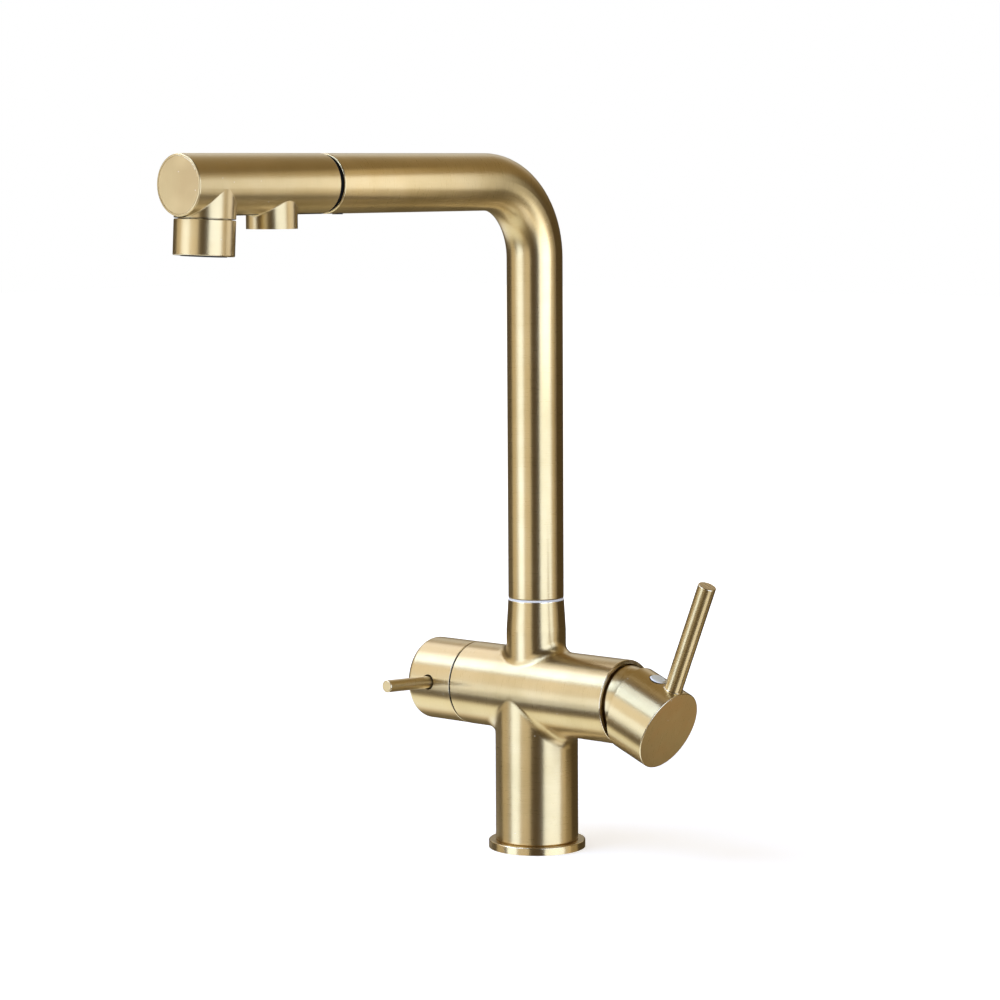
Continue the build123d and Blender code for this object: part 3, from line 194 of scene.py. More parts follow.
soft_box("soft_box_left_end", (-112, -86), (-20, 32), 0.7)
soft_box("soft_box_left_outer", (-86, -76), (-10, 32), 1.6)
soft_box("soft_box_left", (-76, -50), (-22, 6), 2.3)
soft_box("soft_box_left_upper", (-76, -50), (6, 32), 1.4)
soft_box("soft_box_left_edge", (-50, -19), (-20, 32), 1.05)
soft_box("soft_box_right", (17, 68), (-23, 28), 2.15)
soft_box("soft_box_right_end", (68, 86), (-23, 28), 0.8)
soft_box("soft_box_low_front", (24, 74), (-58, -38), 1.5)
soft_box("soft_box_high_left", (-108, -72), (33, 56), 2.9)
soft_box("soft_box_high_front", (-72, -38), (36, 70), 2.6)
soft_box("soft_box_high_back", (-162, -108), (36, 58), 1.6)
soft_box("soft_box_low_right", (92, 126), (-42, -22), 0.4, CAP_BOX_DISTANCE, CAP_MIDDLE)
soft_box("soft_box_spout", (80, 114), (-13, 16), 1.4, ARM_BOX_DISTANCE, ARM_MIDDLE)
soft_box("soft_box_spout_upper", (80, 114), (16, 32), 0.55, ARM_BOX_DISTANCE, ARM_MIDDLE)
soft_box("soft_box_spout_lower", (80, 114), (-30, -13), 0.8, ARM_BOX_DISTANCE, ARM_MIDDLE)

# The floor glows for the camera only, and less near the tap, where a soft shadow shows.
FLOOR_SIDE = 12.0
FLOOR_DROP = 0.2 * MM
FLOOR_WHITE = "#EFEDE6"
GLOW_REACH = (0.2, 0.9)
GLOW = (0.55, 1.0)
bpy.ops.mesh.primitive_grid_add(size=FLOOR_SIDE, location=(0, 0, -FLOOR_DROP))
floor = bpy.context.object
floor.name = "floor"
floor.visible_glossy = False
floor.visible_shadow = False
floor_paint = bpy.data.materials.new("matt_white_floor")
floor_paint.use_nodes = True
tree = floor_paint.node_tree
tree.nodes.clear()
spot = add_node(tree, "NewGeometry", output="Position")
reach = add_node(tree, "VectorMath", {0: spot}, "Value", operation="LENGTH")
glow = add_node(tree, "MapRange", {
    0: reach, 1: GLOW_REACH[0], 2: GLOW_REACH[1], 3: GLOW[0], 4: GLOW[1]},
    interpolation_type="SMOOTHSTEP")
seen = add_node(tree, "LightPath", output="Is Camera Ray")
glow = add_node(tree, "Math", {0: seen, 1: glow}, operation="MULTIPLY")
glow = add_node(tree, "Emission", {"Strength": glow})
paint = add_node(tree, "BsdfDiffuse", {"Color": linear(FLOOR_WHITE)})
surface = add_node(tree, "AddShader", {0: paint, 1: glow})
add_node(tree, "OutputMaterial", {"Surface": surface})
floor.data.materials.append(floor_paint)


# ------------------------------------------------------------------ body
# The body is one brass casting, with the column, the barrel and the neck blended together.
# It is polished with a fine belt, so that hair lines run round each tube, and then coated
# with a thin layer of gold-coloured nitride that keeps the satin look of the metal below.
X_AXIS = (1, 0, 0)
Y_AXIS = (0, 1, 0)
Z_AXIS = (0, 0, 1)
GOLD = "#D2BA83"
GOLD_DEEP = "#C4AB71"            # where the coating is a little thicker
GOLD_WARM = "#D2B77C"            # where it came out a little warmer
GOLD_RIM_HIGHLIGHT = "#E8D8B2"            # painted highlight along sharp rims
JOINT_SHADE_AND_GREASE = "#1A160E"           # faces inside a joint, left rough: painted shade of the gap, with a film of grease
JOINT_REACH = 1.2 * MM           # how far such a face may lean
LIME_AND_GLINT = "#E6D8B8"                 # dried specks of hard water, which also stand in for the glints of droplets: partly painted highlight
SPECK_PITCH = 6 * MM             # between the specks in space
SPECK_RADIUS = 0.25 * MM
SPLASHED = 0.5                   # patches above this hold specks, and the others none
ROUGHNESS = 0.3
ROUGHNESS_SPREAD = 0.03
EDGE_POLISH = 0.1                # how much smoother a sharp edge is worn
COAT_ROUGHNESS = 0.3
GLINT_SPREAD = 0.7               # how far the hair lines draw out a glint
LINE_PITCH = 0.2 * MM            # real hair lines are 0.05 mm apart; drawn coarser, to show
LINE_LENGTH = 8 * MM
LINE_DEPTH = 0.0002 * MM
LINE_TONE = 0.3                  # how much the lines add to the patches of tone
LINE_NOISE = (0.3, 0.7)          # the values that the noise nearly always stays between
SWELL_SIZE = 14 * MM             # the slow waves that a belt leaves in a tube
SWELL_DEPTH = 0.02 * MM
WARM_NOISE = (0.4, 0.65)
WARM_SHARE = 0.6
TONE_SIZE = 30 * MM              # patches of the coating
TONE_NOISE = (0.45, 0.75)
FLAT_FACING = 0.9                # a flat end, by how far its normal lies along the axis
RIM_FACING = 0.55                # a rounded rim, by the same, give or take RIM_SPREAD
RIM_SPREAD = 0.3


def new_tree(name):
    """The empty node tree of a new material."""
    material = bpy.data.materials.new(name)
    material.use_nodes = True
    material.node_tree.nodes.clear()
    return material.node_tree


def dress(node_names, material):
    """Puts one material on CAD nodes."""
    for name in node_names:
        node = frame["nodes"][name]
        node.data.materials.clear()
        node.data.materials.append(material)


def line_noise(tree, place, along, direction):
    """Noise stretched into hair lines that run at right angles to a direction."""
    slow = add_node(tree, "VectorMath", {0: place, "Scale": 1 / LINE_LENGTH}, operation="SCALE")
    fast = add_node(tree, "Math", {0: along, 1: 1 / LINE_PITCH}, operation="MULTIPLY")
    fast = add_node(tree, "VectorMath", {0: direction, "Scale": fast}, operation="SCALE")
    spot = add_node(tree, "VectorMath", {0: slow, 1: fast}, operation="ADD")
    return add_node(tree, "TexNoise", {
        "Vector": spot, "Scale": 1.0, "Detail": 3.0, "Roughness": 0.6})


def satin_gold(tree, along, direction, edge_highlight=0.0, joint=0.0, colour=linear(GOLD),
               roughness=ROUGHNESS, line_depth=LINE_DEPTH):
    """Satin gold nitride: fine lines across a direction, and glints that spread along it."""
    place = add_node(tree, "TexCoord", output="Object")
    lines = line_noise(tree, place, along, direction)
    cloud = add_node(tree, "TexNoise", {"Vector": place, "Scale": 1 / TONE_SIZE, "Detail": 3.0})
    swell = add_node(tree, "TexNoise", {"Vector": place, "Scale": 1 / SWELL_SIZE, "Detail": 1.0})
    tone = add_node(tree, "Math", {0: lines, 1: LINE_TONE, 2: cloud}, operation="MULTIPLY_ADD")
    tone = add_node(tree, "MapRange", {0: tone, 1: TONE_NOISE[0], 2: TONE_NOISE[1]})
    warm = add_node(tree, "MapRange", {
        0: swell, 1: WARM_NOISE[0], 2: WARM_NOISE[1], 4: WARM_SHARE})
    tint = add_node(tree, "Mix", {0: warm, 6: colour, 7: linear(GOLD_WARM)}, 2,
                    data_type="RGBA")
    tint = add_node(tree, "Mix", {0: tone, 6: linear(GOLD_DEEP), 7: tint}, 2, data_type="RGBA")
    # Sharp rims are drawn lighter: a painted highlight.
    tint = add_node(tree, "Mix", {0: edge_highlight, 6: tint, 7: linear(GOLD_RIM_HIGHLIGHT)}, 2, data_type="RGBA")
    rough = add_node(tree, "MapRange", {
        0: lines, 1: LINE_NOISE[0], 2: LINE_NOISE[1],
        3: roughness - ROUGHNESS_SPREAD, 4: roughness + ROUGHNESS_SPREAD})
    rough = add_node(tree, "Math", {0: edge_highlight, 1: -EDGE_POLISH, 2: rough},
                     operation="MULTIPLY_ADD")
    height = add_node(tree, "Math", {0: swell, 1: SWELL_DEPTH}, operation="MULTIPLY")
    height = add_node(tree, "Math", {0: lines, 1: line_depth, 2: height},
                      operation="MULTIPLY_ADD")
    bump = add_node(tree, "Bump", {"Height": height, "Distance": 1.0, "Strength": 1.0})
    flow = add_node(tree, "VectorTransform", {0: direction}, vector_type="VECTOR",
                    convert_from="OBJECT", convert_to="WORLD")
    speck = add_node(tree, "TexVoronoi", {"Vector": place, "Scale": 1 / SPECK_PITCH})
    speck = add_node(tree, "Math", {0: speck, 1: SPECK_RADIUS / SPECK_PITCH},
                     operation="LESS_THAN")
    splashed = add_node(tree, "Math", {0: cloud, 1: SPLASHED}, operation="GREATER_THAN")
    speck = add_node(tree, "Math", {0: speck, 1: splashed}, operation="MULTIPLY")
    # Pale specks: dried lime, and also painted glints of droplets.
    tint = add_node(tree, "Mix", {0: speck, 6: tint, 7: linear(LIME_AND_GLINT)}, 2, data_type="RGBA")
    bare = add_node(tree, "Math", {0: 1.0, 1: speck}, operation="SUBTRACT")
    # Faces in a joint get painted shade of the gap, with grease, and lose their coat.
    tint = add_node(tree, "Mix", {0: joint, 6: tint, 7: linear(JOINT_SHADE_AND_GREASE)}, 2,
                    data_type="RGBA")
    coat = add_node(tree, "Math", {0: 1.0, 1: joint}, operation="SUBTRACT")
    metal = add_node(tree, "BsdfPrincipled", {
        "Base Color": tint, "Metallic": bare, "Roughness": rough, "Anisotropic": GLINT_SPREAD,
        "Coat Weight": coat, "Coat Roughness": COAT_ROUGHNESS, "Normal": bump, "Tangent": flow})
    add_node(tree, "OutputMaterial", {"Surface": metal})


def satin_gold_round(name, axis, face_lines, face=GOLD, roughness=ROUGHNESS, joint_at=None,
                     domed=False, line_depth=LINE_DEPTH):
    """Satin gold on a round piece: lines run round its axis, and straight on its flat ends."""
    tree = new_tree(name)
    place = add_node(tree, "TexCoord", output="Object")
    normal = add_node(tree, "TexCoord", output="Normal")
    facing = add_node(tree, "VectorMath", {0: normal, 1: axis}, "Value",
                      operation="DOT_PRODUCT")
    facing = add_node(tree, "Math", {0: facing}, operation="ABSOLUTE")
    flat = add_node(tree, "Math", {0: facing, 1: FLAT_FACING}, operation="GREATER_THAN")
    direction = add_node(tree, "Mix", {0: flat, 4: axis, 5: face_lines}, 1, data_type="VECTOR")
    along = add_node(tree, "VectorMath", {0: place, 1: direction}, "Value",
                     operation="DOT_PRODUCT")
    colour = add_node(tree, "Mix", {0: flat, 6: linear(GOLD), 7: linear(face)}, 2,
                      data_type="RGBA")
    rim_highlight, joint = 0.0, 0.0
    # Rims of pieces that are not domed get the painted highlight.
    if not domed:
        rim_highlight = add_node(tree, "Math", {0: facing, 1: RIM_FACING, 2: RIM_SPREAD},
                       operation="COMPARE")
    # Flat faces at joint_at get painted shade of the joint's gap.
    if joint_at is not None:
        height = add_node(tree, "VectorMath", {0: place, 1: axis}, "Value",
                          operation="DOT_PRODUCT")
        joint = add_node(tree, "Math", {0: height, 1: joint_at, 2: JOINT_REACH},
                         operation="COMPARE")
        joint = add_node(tree, "Math", {0: joint, 1: flat}, operation="MULTIPLY")
    satin_gold(tree, along, direction, rim_highlight, joint, colour, roughness, line_depth)
    return bpy.data.materials[name]


# On the casting the lines run round the barrel where that is the nearer axis or, above it,
# outside the neck's foot, and round the column and the neck elsewhere. Its three round rims
# get a painted highlight, and the end face under the knob gets painted shade.
BARREL_HEIGHT = Vector(joints["filter_valve"]["pos_m"]).z
NECK_FOOT_REACH = 17.5 * MM
RIM_WIDTH = 0.35 * MM
END_FACE_DEPTH = 0.02 * MM
casting_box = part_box("body_casting")
BARREL_LEFT, BARREL_RIGHT, NECK_TOP = casting_box[0][0], casting_box[1][0], casting_box[1][2]
tree = new_tree("satin_gold_casting")
place = add_node(tree, "TexCoord", output="Object")
x = add_node(tree, "SeparateXYZ", {0: place}, "X")
y = add_node(tree, "SeparateXYZ", {0: place}, "Y")
z = add_node(tree, "SeparateXYZ", {0: place}, "Z")
side = add_node(tree, "Math", {0: x}, operation="ABSOLUTE")
rise = add_node(tree, "Math", {0: z, 1: BARREL_HEIGHT}, operation="SUBTRACT")
sink = add_node(tree, "Math", {0: rise}, operation="ABSOLUTE")
beside = add_node(tree, "Math", {0: side, 1: sink}, operation="GREATER_THAN")
from_axis = add_node(tree, "CombineXYZ", {0: x, 1: y})
from_axis = add_node(tree, "VectorMath", {0: from_axis}, "Value", operation="LENGTH")
outside = add_node(tree, "Math", {0: from_axis, 1: NECK_FOOT_REACH}, operation="GREATER_THAN")
above = add_node(tree, "Math", {0: rise, 1: 0.0}, operation="GREATER_THAN")
over = add_node(tree, "Math", {0: outside, 1: above}, operation="MULTIPLY")
barrel = add_node(tree, "Math", {0: beside, 1: over}, operation="MAXIMUM")
direction = add_node(tree, "Mix", {0: barrel, 4: Z_AXIS, 5: X_AXIS}, 1, data_type="VECTOR")
along = add_node(tree, "VectorMath", {0: place, 1: direction}, "Value", operation="DOT_PRODUCT")
# The three round rims get the painted highlight.
on_right = add_node(tree, "Math", {0: x, 1: BARREL_RIGHT - RIM_WIDTH}, operation="GREATER_THAN")
on_left = add_node(tree, "Math", {0: x, 1: BARREL_LEFT + RIM_WIDTH}, operation="LESS_THAN")
on_top = add_node(tree, "Math", {0: z, 1: NECK_TOP - RIM_WIDTH}, operation="GREATER_THAN")
rim_highlight = add_node(tree, "Math", {0: on_left, 1: on_top}, operation="MAXIMUM")
rim_highlight = add_node(tree, "Math", {0: on_right, 1: rim_highlight}, operation="MAXIMUM")
# The end face under the knob gets painted shade of the gap.
joint = add_node(tree, "Math", {0: x, 1: BARREL_LEFT + END_FACE_DEPTH}, operation="LESS_THAN")
satin_gold(tree, along, direction, rim_highlight, joint)
dress(["body_casting"], bpy.data.materials["satin_gold_casting"])


# ------------------------------------------------------------------ threads
# The casting's threads are cut on a lathe and left bare: a coarse one in its base, a fine one
# in each of its three ports, and one in the barrel's mouth for the cartridge's nut.
BRASS = "#C9A55A"
BRASS_ROUGHNESS = 0.28
TOOL_MARK_PITCH = 0.5 * MM       # real tool marks are 0.1 mm apart; drawn coarser, to show
TOOL_MARK_DEPTH = 0.002 * MM
TOOL_MARK_SPREAD = 0.05          # how far the roughness goes up and down across a mark
TURNED_SHADE = 0.75              # how dark the darkest patches of machined metal are
THREAD_STEPS_ROUND = 64
THREAD_STEPS_PER_PITCH = 8


def turned_metal(name, colour, axis, roughness, pitch):
    """Machined metal with the fine rings that a lathe tool leaves round its axis."""
    tree = new_tree(name)
    place = add_node(tree, "TexCoord", output="Object")
    along = add_node(tree, "VectorMath", {0: place, 1: axis}, "Value", operation="DOT_PRODUCT")
    lines = add_node(tree, "Math", {0: along, 1: 2 * pi / pitch}, operation="MULTIPLY")
    rings = add_node(tree, "Math", {0: lines}, operation="SINE")
    cloud = add_node(tree, "TexNoise", {"Vector": place, "Scale": 1 / TONE_SIZE, "Detail": 4.0})
    shade = [TURNED_SHADE * channel for channel in linear(colour)[:3]] + [1]
    tint = add_node(tree, "Mix", {0: cloud, 6: shade, 7: linear(colour)}, 2, data_type="RGBA")
    rough = add_node(tree, "MapRange", {
        0: rings, 1: -1.0, 2: 1.0,
        3: roughness - TOOL_MARK_SPREAD, 4: roughness + TOOL_MARK_SPREAD})
    bump = add_node(tree, "Bump", {
        "Height": rings, "Distance": TOOL_MARK_DEPTH, "Strength": 1.0})
    metal = add_node(tree, "BsdfPrincipled", {
        "Base Color": tint, "Metallic": 1.0, "Roughness": rough, "Normal": bump})
    add_node(tree, "OutputMaterial", {"Surface": metal})
    return bpy.data.materials[name]


def place_mesh(name, mesh, body, material):
    """Makes an object of a mesh that is being built, and lets it ride on a body."""
    data = bpy.data.meshes.new(name)
    mesh.to_mesh(data)
    mesh.free()
    data.shade_smooth()
    data.materials.append(material)
    piece = bpy.data.objects.new(name, data)
    bpy.context.collection.objects.link(piece)
    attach(piece, body)


def ring_thread(name, foot, axis, radius, depth, pitch, length, material):
    """A screw thread in a bore of the body: one V-shaped ridge wound round an axis."""
    turn = Vector(axis).to_track_quat("Z", "Y").to_matrix()
    mesh = bmesh.new()
    rings = []
    for row in range(int(length / pitch * THREAD_STEPS_PER_PITCH) + 1):
        height = row * pitch / THREAD_STEPS_PER_PITCH
        points = []
        for column in range(THREAD_STEPS_ROUND):
            angle = 2 * pi * column / THREAD_STEPS_ROUND
            phase = (height / pitch - column / THREAD_STEPS_ROUND) % 1
            reach = radius - depth * abs(2 * phase - 1)
            points.append(mesh.verts.new(
                Vector(foot) + turn @ Vector((reach * cos(angle), reach * sin(angle), height))))
        rings.append(points)
    for lower, upper in zip(rings, rings[1:]):
        for column in range(THREAD_STEPS_ROUND):
            following = (column + 1) % THREAD_STEPS_ROUND
            mesh.faces.new((lower[following], lower[column], upper[column], upper[following]))
    place_mesh(name, mesh, "body", material)


# Bare brass is yellower than the coating, with rings that glint as the eye moves.
machined_brass = turned_metal(
    "machined_brass", BRASS, X_AXIS, BRASS_ROUGHNESS, TOOL_MARK_PITCH)
turned_brass_upright = turned_metal(
    "machined_brass_upright", BRASS, Z_AXIS, BRASS_ROUGHNESS, TOOL_MARK_PITCH)

FINE_PITCH = 1.0 * MM
MOUTH_THREAD_RADIUS = 19.15 * MM
MOUTH_THREAD_DEPTH = 0.5 * MM
MOUTH_THREAD_INSET = 0.5 * MM    # from the barrel's right end
NUT_THICKNESS = 2.2 * MM         # only what the nut leaves free of the thread is drawn
mouth_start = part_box("cartridge_nut")[0][0] + NUT_THICKNESS
ring_thread("mouth_thread", (mouth_start, 0, BARREL_HEIGHT), X_AXIS, MOUTH_THREAD_RADIUS,
            MOUTH_THREAD_DEPTH, FINE_PITCH, BARREL_RIGHT - mouth_start - MOUTH_THREAD_INSET,
            machined_brass)

BASE_THREAD_START = 0.3 * MM
BASE_THREAD_RADIUS = 16.5 * MM
BASE_THREAD_DEPTH = 0.9 * MM
BASE_THREAD_PITCH = 1.5 * MM
BASE_THREAD_LENGTH = 11.5 * MM
ring_thread("base_thread", (0, 0, BASE_THREAD_START), Z_AXIS, BASE_THREAD_RADIUS,
            BASE_THREAD_DEPTH, BASE_THREAD_PITCH, BASE_THREAD_LENGTH, turned_brass_upright)

PORTS = {"hot": (7.4, 6.5), "cold": (7.4, -6.5), "filter": (-8.1, 0)}    # x and y in mm
PORT_FLOOR = 52 * MM
PORT_THREAD_RADIUS = 5 * MM
PORT_THREAD_DEPTH = 0.6 * MM
PORT_THREAD_LENGTH = 8.5 * MM
for port, (port_x, port_y) in PORTS.items():
    ring_thread(f"{port}_port_thread", (port_x * MM, port_y * MM, PORT_FLOOR), Z_AXIS,
                PORT_THREAD_RADIUS, PORT_THREAD_DEPTH, FINE_PITCH, PORT_THREAD_LENGTH,
                turned_brass_upright)


# ------------------------------------------------------------------ base
# The flange is a ring turned from brass bar and coated like the body. A flat ring of black
# rubber in its underside seals it on the worktop.
FLANGE_ROUGHNESS = 0.22
MOULD_NOISE = (0.3, 0.7)         # the values that the noise nearly always stays between
MOULD_SHADE = 0.86               # how dark the darkest patches of a moulding are
GLOSSIER = 0.05                  # how far its roughness goes down and up from the mean
DULLER = 0.08


def moulded(name, colour, roughness, grain, depth, gloss=0.5):
    """A moulded, matt or satin surface with the fine grain of its mould."""
    tree = new_tree(name)
    place = add_node(tree, "TexCoord", output="Object")
    bumps = add_node(tree, "TexNoise", {
        "Vector": place, "Scale": 1 / grain, "Detail": 4.0, "Roughness": 0.6})
    cloud = add_node(tree, "TexNoise", {"Vector": place, "Scale": 1 / TONE_SIZE, "Detail": 2.0})
    shade = [MOULD_SHADE * channel for channel in linear(colour)[:3]] + [1]
    tint = add_node(tree, "Mix", {0: cloud, 6: shade, 7: linear(colour)}, 2, data_type="RGBA")
    rough = add_node(tree, "MapRange", {
        0: bumps, 1: MOULD_NOISE[0], 2: MOULD_NOISE[1],
        3: roughness - GLOSSIER, 4: roughness + DULLER})
    bump = add_node(tree, "Bump", {"Height": bumps, "Distance": depth, "Strength": 1.0})
    plastic = add_node(tree, "BsdfPrincipled", {
        "Base Color": tint, "Roughness": rough, "Specular IOR Level": gloss, "Normal": bump})
    add_node(tree, "OutputMaterial", {"Surface": plastic})
    return bpy.data.materials[name]


# The flange is polished finer than the casting, so that its edge catches a sharper light.
# Its rims also get the painted highlight.
gold_upright = satin_gold_round(
    "satin_gold_turned_upright", Z_AXIS, X_AXIS, roughness=FLANGE_ROUGHNESS)
# Rubber gives a dull, almost black line.
black_rubber = moulded("black_epdm_rubber", "#1B1B1C", 0.65, 0.4 * MM, 0.01 * MM)
dress(["base_flange"], gold_upright)
dress(["base_gasket"], black_rubber)


# ------------------------------------------------------------------ swivel
# The spout turns on a thin ring of white acetal, the bright line under the tube. A headless
# screw of blackened steel in the back of the neck keeps its foot down.
# Acetal is white with a slight sheen, and blackened steel is dark with a dull one.
white_acetal = moulded("white_acetal", "#F4F1E8", 0.35, 0.3 * MM, 0.002 * MM)
black_steel = turned_metal("blackened_steel", "#2A2A2C", Z_AXIS, 0.4, TOOL_MARK_PITCH)
dress(["swivel_ring"], white_acetal)
dress(["spout_retaining_screw"], black_steel)


# ------------------------------------------------------------------ mixing cartridge
# A bought-in cartridge of 35 mm: a shell of grey polyamide, rubber port seals, two lapped
# ceramic discs, a white acetal rotor, a steel pin and a brass stem. A brass nut holds it down.
GROUND_MARK_PITCH = 0.4 * MM     # real grinding marks are finer; drawn coarser, to show
# Matt grey plastic, ceramic with the gleam of a lapped face, and cold, bright steel.
grey_polyamide = moulded("grey_polyamide", "#8E9498", 0.5, 0.5 * MM, 0.008 * MM)
white_ceramic = moulded("lapped_alumina", "#ECEAE3", 0.18, 0.2 * MM, 0.001 * MM)
ground_steel = turned_metal(
    "ground_stainless_steel", "#BDBBB6", X_AXIS, 0.22, GROUND_MARK_PITCH)
dress(["cartridge_housing", "disc_slider"], grey_polyamide)
dress(["cartridge_seals"], black_rubber)
dress(["fixed_ceramic_disc", "moving_ceramic_disc"], white_ceramic)
dress(["cartridge_rotor"], white_acetal)
dress(["stem_pin"], ground_steel)
dress(["cartridge_stem", "cartridge_nut"], machined_brass)


# ------------------------------------------------------------------ shroud
# The domed cover between the barrel and the handle is spun from brass sheet and coated. It is
# pushed on the nut's collar, and the handle's cap tips over it.
# It gets no painted highlight on a rim, so it shows as one smooth crescent.
gold_dome = satin_gold_round("satin_gold_dome", X_AXIS, Z_AXIS, domed=True)
dress(["cartridge_shroud"], gold_dome)


# ------------------------------------------------------------------ mixer's handle
# A turned brass cap tips over the dome on the stem. A round rod screws into it as the lever,
# and a pale plug hides the screw that clamps it. Both metal parts are coated like the body.
HANDLE_TILT = radians(22.8)
CAP_FACE_SHADED_GOLD = "#CCA668"        # painted shade: its flat face is drawn deeper and redder than its skirt
LEVER_FACE_SHADED_GOLD = "#A4874E"      # painted shade: the lever's sawn end is drawn darker than its wall
LEVER_ROUGHNESS = 0.27           # its wall is polished finer, with shallower lines
LEVER_LINE_DEPTH = 0.3 * LINE_DEPTH
side_axis = Vector(joints["mixer_flow"]["axis"])
cap_axis = Matrix.Rotation(HANDLE_TILT, 3, side_axis) @ Vector(X_AXIS)
lever_axis = cap_axis.cross(side_axis)
gold_cap = satin_gold_round("satin_gold_cap", tuple(cap_axis), tuple(side_axis), CAP_FACE_SHADED_GOLD)
gold_lever = satin_gold_round(
    "satin_gold_lever", tuple(lever_axis), tuple(side_axis), LEVER_FACE_SHADED_GOLD,
    roughness=LEVER_ROUGHNESS, line_depth=LEVER_LINE_DEPTH)

# The plug is moulded: its bevel gets a painted highlight, a bright ring, and its wall
# painted shade of the gap round it.
PLUG_PALE = "#E8EADA"
PLUG_PALER = "#F2F3E4"
PLUG_BEVEL_HIGHLIGHT = "#FBFBF8"
PLUG_GAP_SHADE = "#3A3424"
PLUG_BEVEL_FACING = 0.7          # the bevel and the wall, by how far a normal lies along the
PLUG_BEVEL_SPREAD = 0.15         # plug's axis
PLUG_WALL_FACING = 0.5
PLUG_GRAIN = 0.3 * MM
PLUG_DEPTH = 0.002 * MM
PLUG_ROUGHNESS = (0.3, 0.4)
tree = new_tree("pale_grey_plug")
place = add_node(tree, "TexCoord", output="Object")
normal = add_node(tree, "TexCoord", output="Normal")
facing = add_node(tree, "VectorMath", {0: normal, 1: tuple(lever_axis)}, "Value",
                  operation="DOT_PRODUCT")
bevel_highlight = add_node(tree, "Math", {0: facing, 1: PLUG_BEVEL_FACING, 2: PLUG_BEVEL_SPREAD},
                 operation="COMPARE")
wall = add_node(tree, "Math", {0: facing, 1: PLUG_WALL_FACING}, operation="LESS_THAN")
grain = add_node(tree, "TexNoise", {"Vector": place, "Scale": 1 / PLUG_GRAIN, "Detail": 2.0})
tint = add_node(tree, "Mix", {0: grain, 6: linear(PLUG_PALE), 7: linear(PLUG_PALER)}, 2,
                data_type="RGBA")
# Painted highlight on the bevel, and painted shade on the wall in the gap.
tint = add_node(tree, "Mix", {0: bevel_highlight, 6: tint, 7: linear(PLUG_BEVEL_HIGHLIGHT)}, 2, data_type="RGBA")
tint = add_node(tree, "Mix", {0: wall, 6: tint, 7: linear(PLUG_GAP_SHADE)}, 2, data_type="RGBA")
rough = add_node(tree, "MapRange", {0: grain, 3: PLUG_ROUGHNESS[0], 4: PLUG_ROUGHNESS[1]})
bump = add_node(tree, "Bump", {"Height": grain, "Distance": PLUG_DEPTH, "Strength": 1.0})
plastic = add_node(tree, "BsdfPrincipled", {
    "Base Color": tint, "Roughness": rough, "Normal": bump})
add_node(tree, "OutputMaterial", {"Surface": plastic})
dress(["handle_cap"], gold_cap)
dress(["handle_lever"], gold_lever)
dress(["index_plug"], bpy.data.materials["pale_grey_plug"])
dress(["handle_grub_screw"], black_steel)


# ------------------------------------------------------------------ filter valve
# A quarter-turn headwork of machined brass with its own pair of ceramic discs, screwed into
# the barrel behind the knob. Its spindle is ground stainless steel with a rubber ring.
dress(["filter_valve_body"], machined_brass)
dress(["filter_valve_seal", "spindle_o_ring"], black_rubber)
dress(["filter_fixed_disc", "filter_moving_disc"], white_ceramic)
dress(["filter_spindle"], ground_steel)


# ------------------------------------------------------------------ filter knob
# A turned and coated brass cup over the headwork, with a thin round lever that passes through
# its wall and screws into the hub. A small blackened screw clamps it to the spindle.
THIN_LEVER_LIFT = radians(3.0)
thin_lever_axis = Matrix.Rotation(-THIN_LEVER_LIFT, 3, "X") @ Vector(Y_AXIS)
# The knob's open end gets painted shade, which draws the gap to the barrel as a line.
gold_knob = satin_gold_round(
    "satin_gold_knob", X_AXIS, Z_AXIS, joint_at=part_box("filter_knob")[1][0])
# The thin lever shows one bright line along it.
gold_thin_lever = satin_gold_round("satin_gold_thin_lever", tuple(thin_lever_axis), X_AXIS)
dress(["filter_knob"], gold_knob)
dress(["filter_lever"], gold_thin_lever)
dress(["knob_grub_screw"], black_steel)


# ------------------------------------------------------------------ spout
# The spout is one drawn brass tube, bent on a mandrel and belt-polished round its wall before
# it was coated. Inside it are a brass foot, its rubber rings and a white plastic line.
BEND_RADIUS = 38 * MM
ALMOST_NOTHING = 1e-6            # keeps the angle in the bend defined
tube_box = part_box("spout_tube")
TUBE_RADIUS = (tube_box[1][0] - tube_box[0][0]) / 2
ARM_HEIGHT = tube_box[1][2] - TUBE_RADIUS
# The lines stay across the tube through the bend, so the lights run on from riser to arm.
tree = new_tree("satin_gold_tube")
place = add_node(tree, "TexCoord", output="Object")
y = add_node(tree, "SeparateXYZ", {0: place}, "Y")
z = add_node(tree, "SeparateXYZ", {0: place}, "Z")
out = add_node(tree, "Math", {0: y, 1: BEND_RADIUS}, operation="ADD")
up = add_node(tree, "Math", {0: z, 1: ARM_HEIGHT - BEND_RADIUS}, operation="SUBTRACT")
bent_out = add_node(tree, "Math", {0: out, 1: ALMOST_NOTHING}, operation="MAXIMUM")
bent_up = add_node(tree, "Math", {0: up, 1: 0.0}, operation="MAXIMUM")
angle = add_node(tree, "Math", {0: bent_up, 1: bent_out}, operation="ARCTAN2")
before = add_node(tree, "Math", {0: up, 1: 0.0}, operation="MINIMUM")
after = add_node(tree, "Math", {0: out, 1: 0.0}, operation="MINIMUM")
along = add_node(tree, "Math", {0: angle, 1: BEND_RADIUS, 2: before}, operation="MULTIPLY_ADD")
along = add_node(tree, "Math", {0: along, 1: after}, operation="SUBTRACT")
backward = add_node(tree, "Math", {0: angle}, operation="SINE")
forward = add_node(tree, "Math", {0: backward, 1: -1.0}, operation="MULTIPLY")
upward = add_node(tree, "Math", {0: angle}, operation="COSINE")
direction = add_node(tree, "CombineXYZ", {1: forward, 2: upward})
satin_gold(tree, along, direction)
# The line is milky and matt.
white_line = moulded("natural_polyethylene", "#DCE3E8", 0.4, 0.6 * MM, 0.004 * MM)
dress(["spout_tube"], bpy.data.materials["satin_gold_tube"])
dress(["spout_spigot"], turned_brass_upright)
dress(["spout_o_rings", "filter_line_seal"], black_rubber)
dress(["filter_line"], white_line)


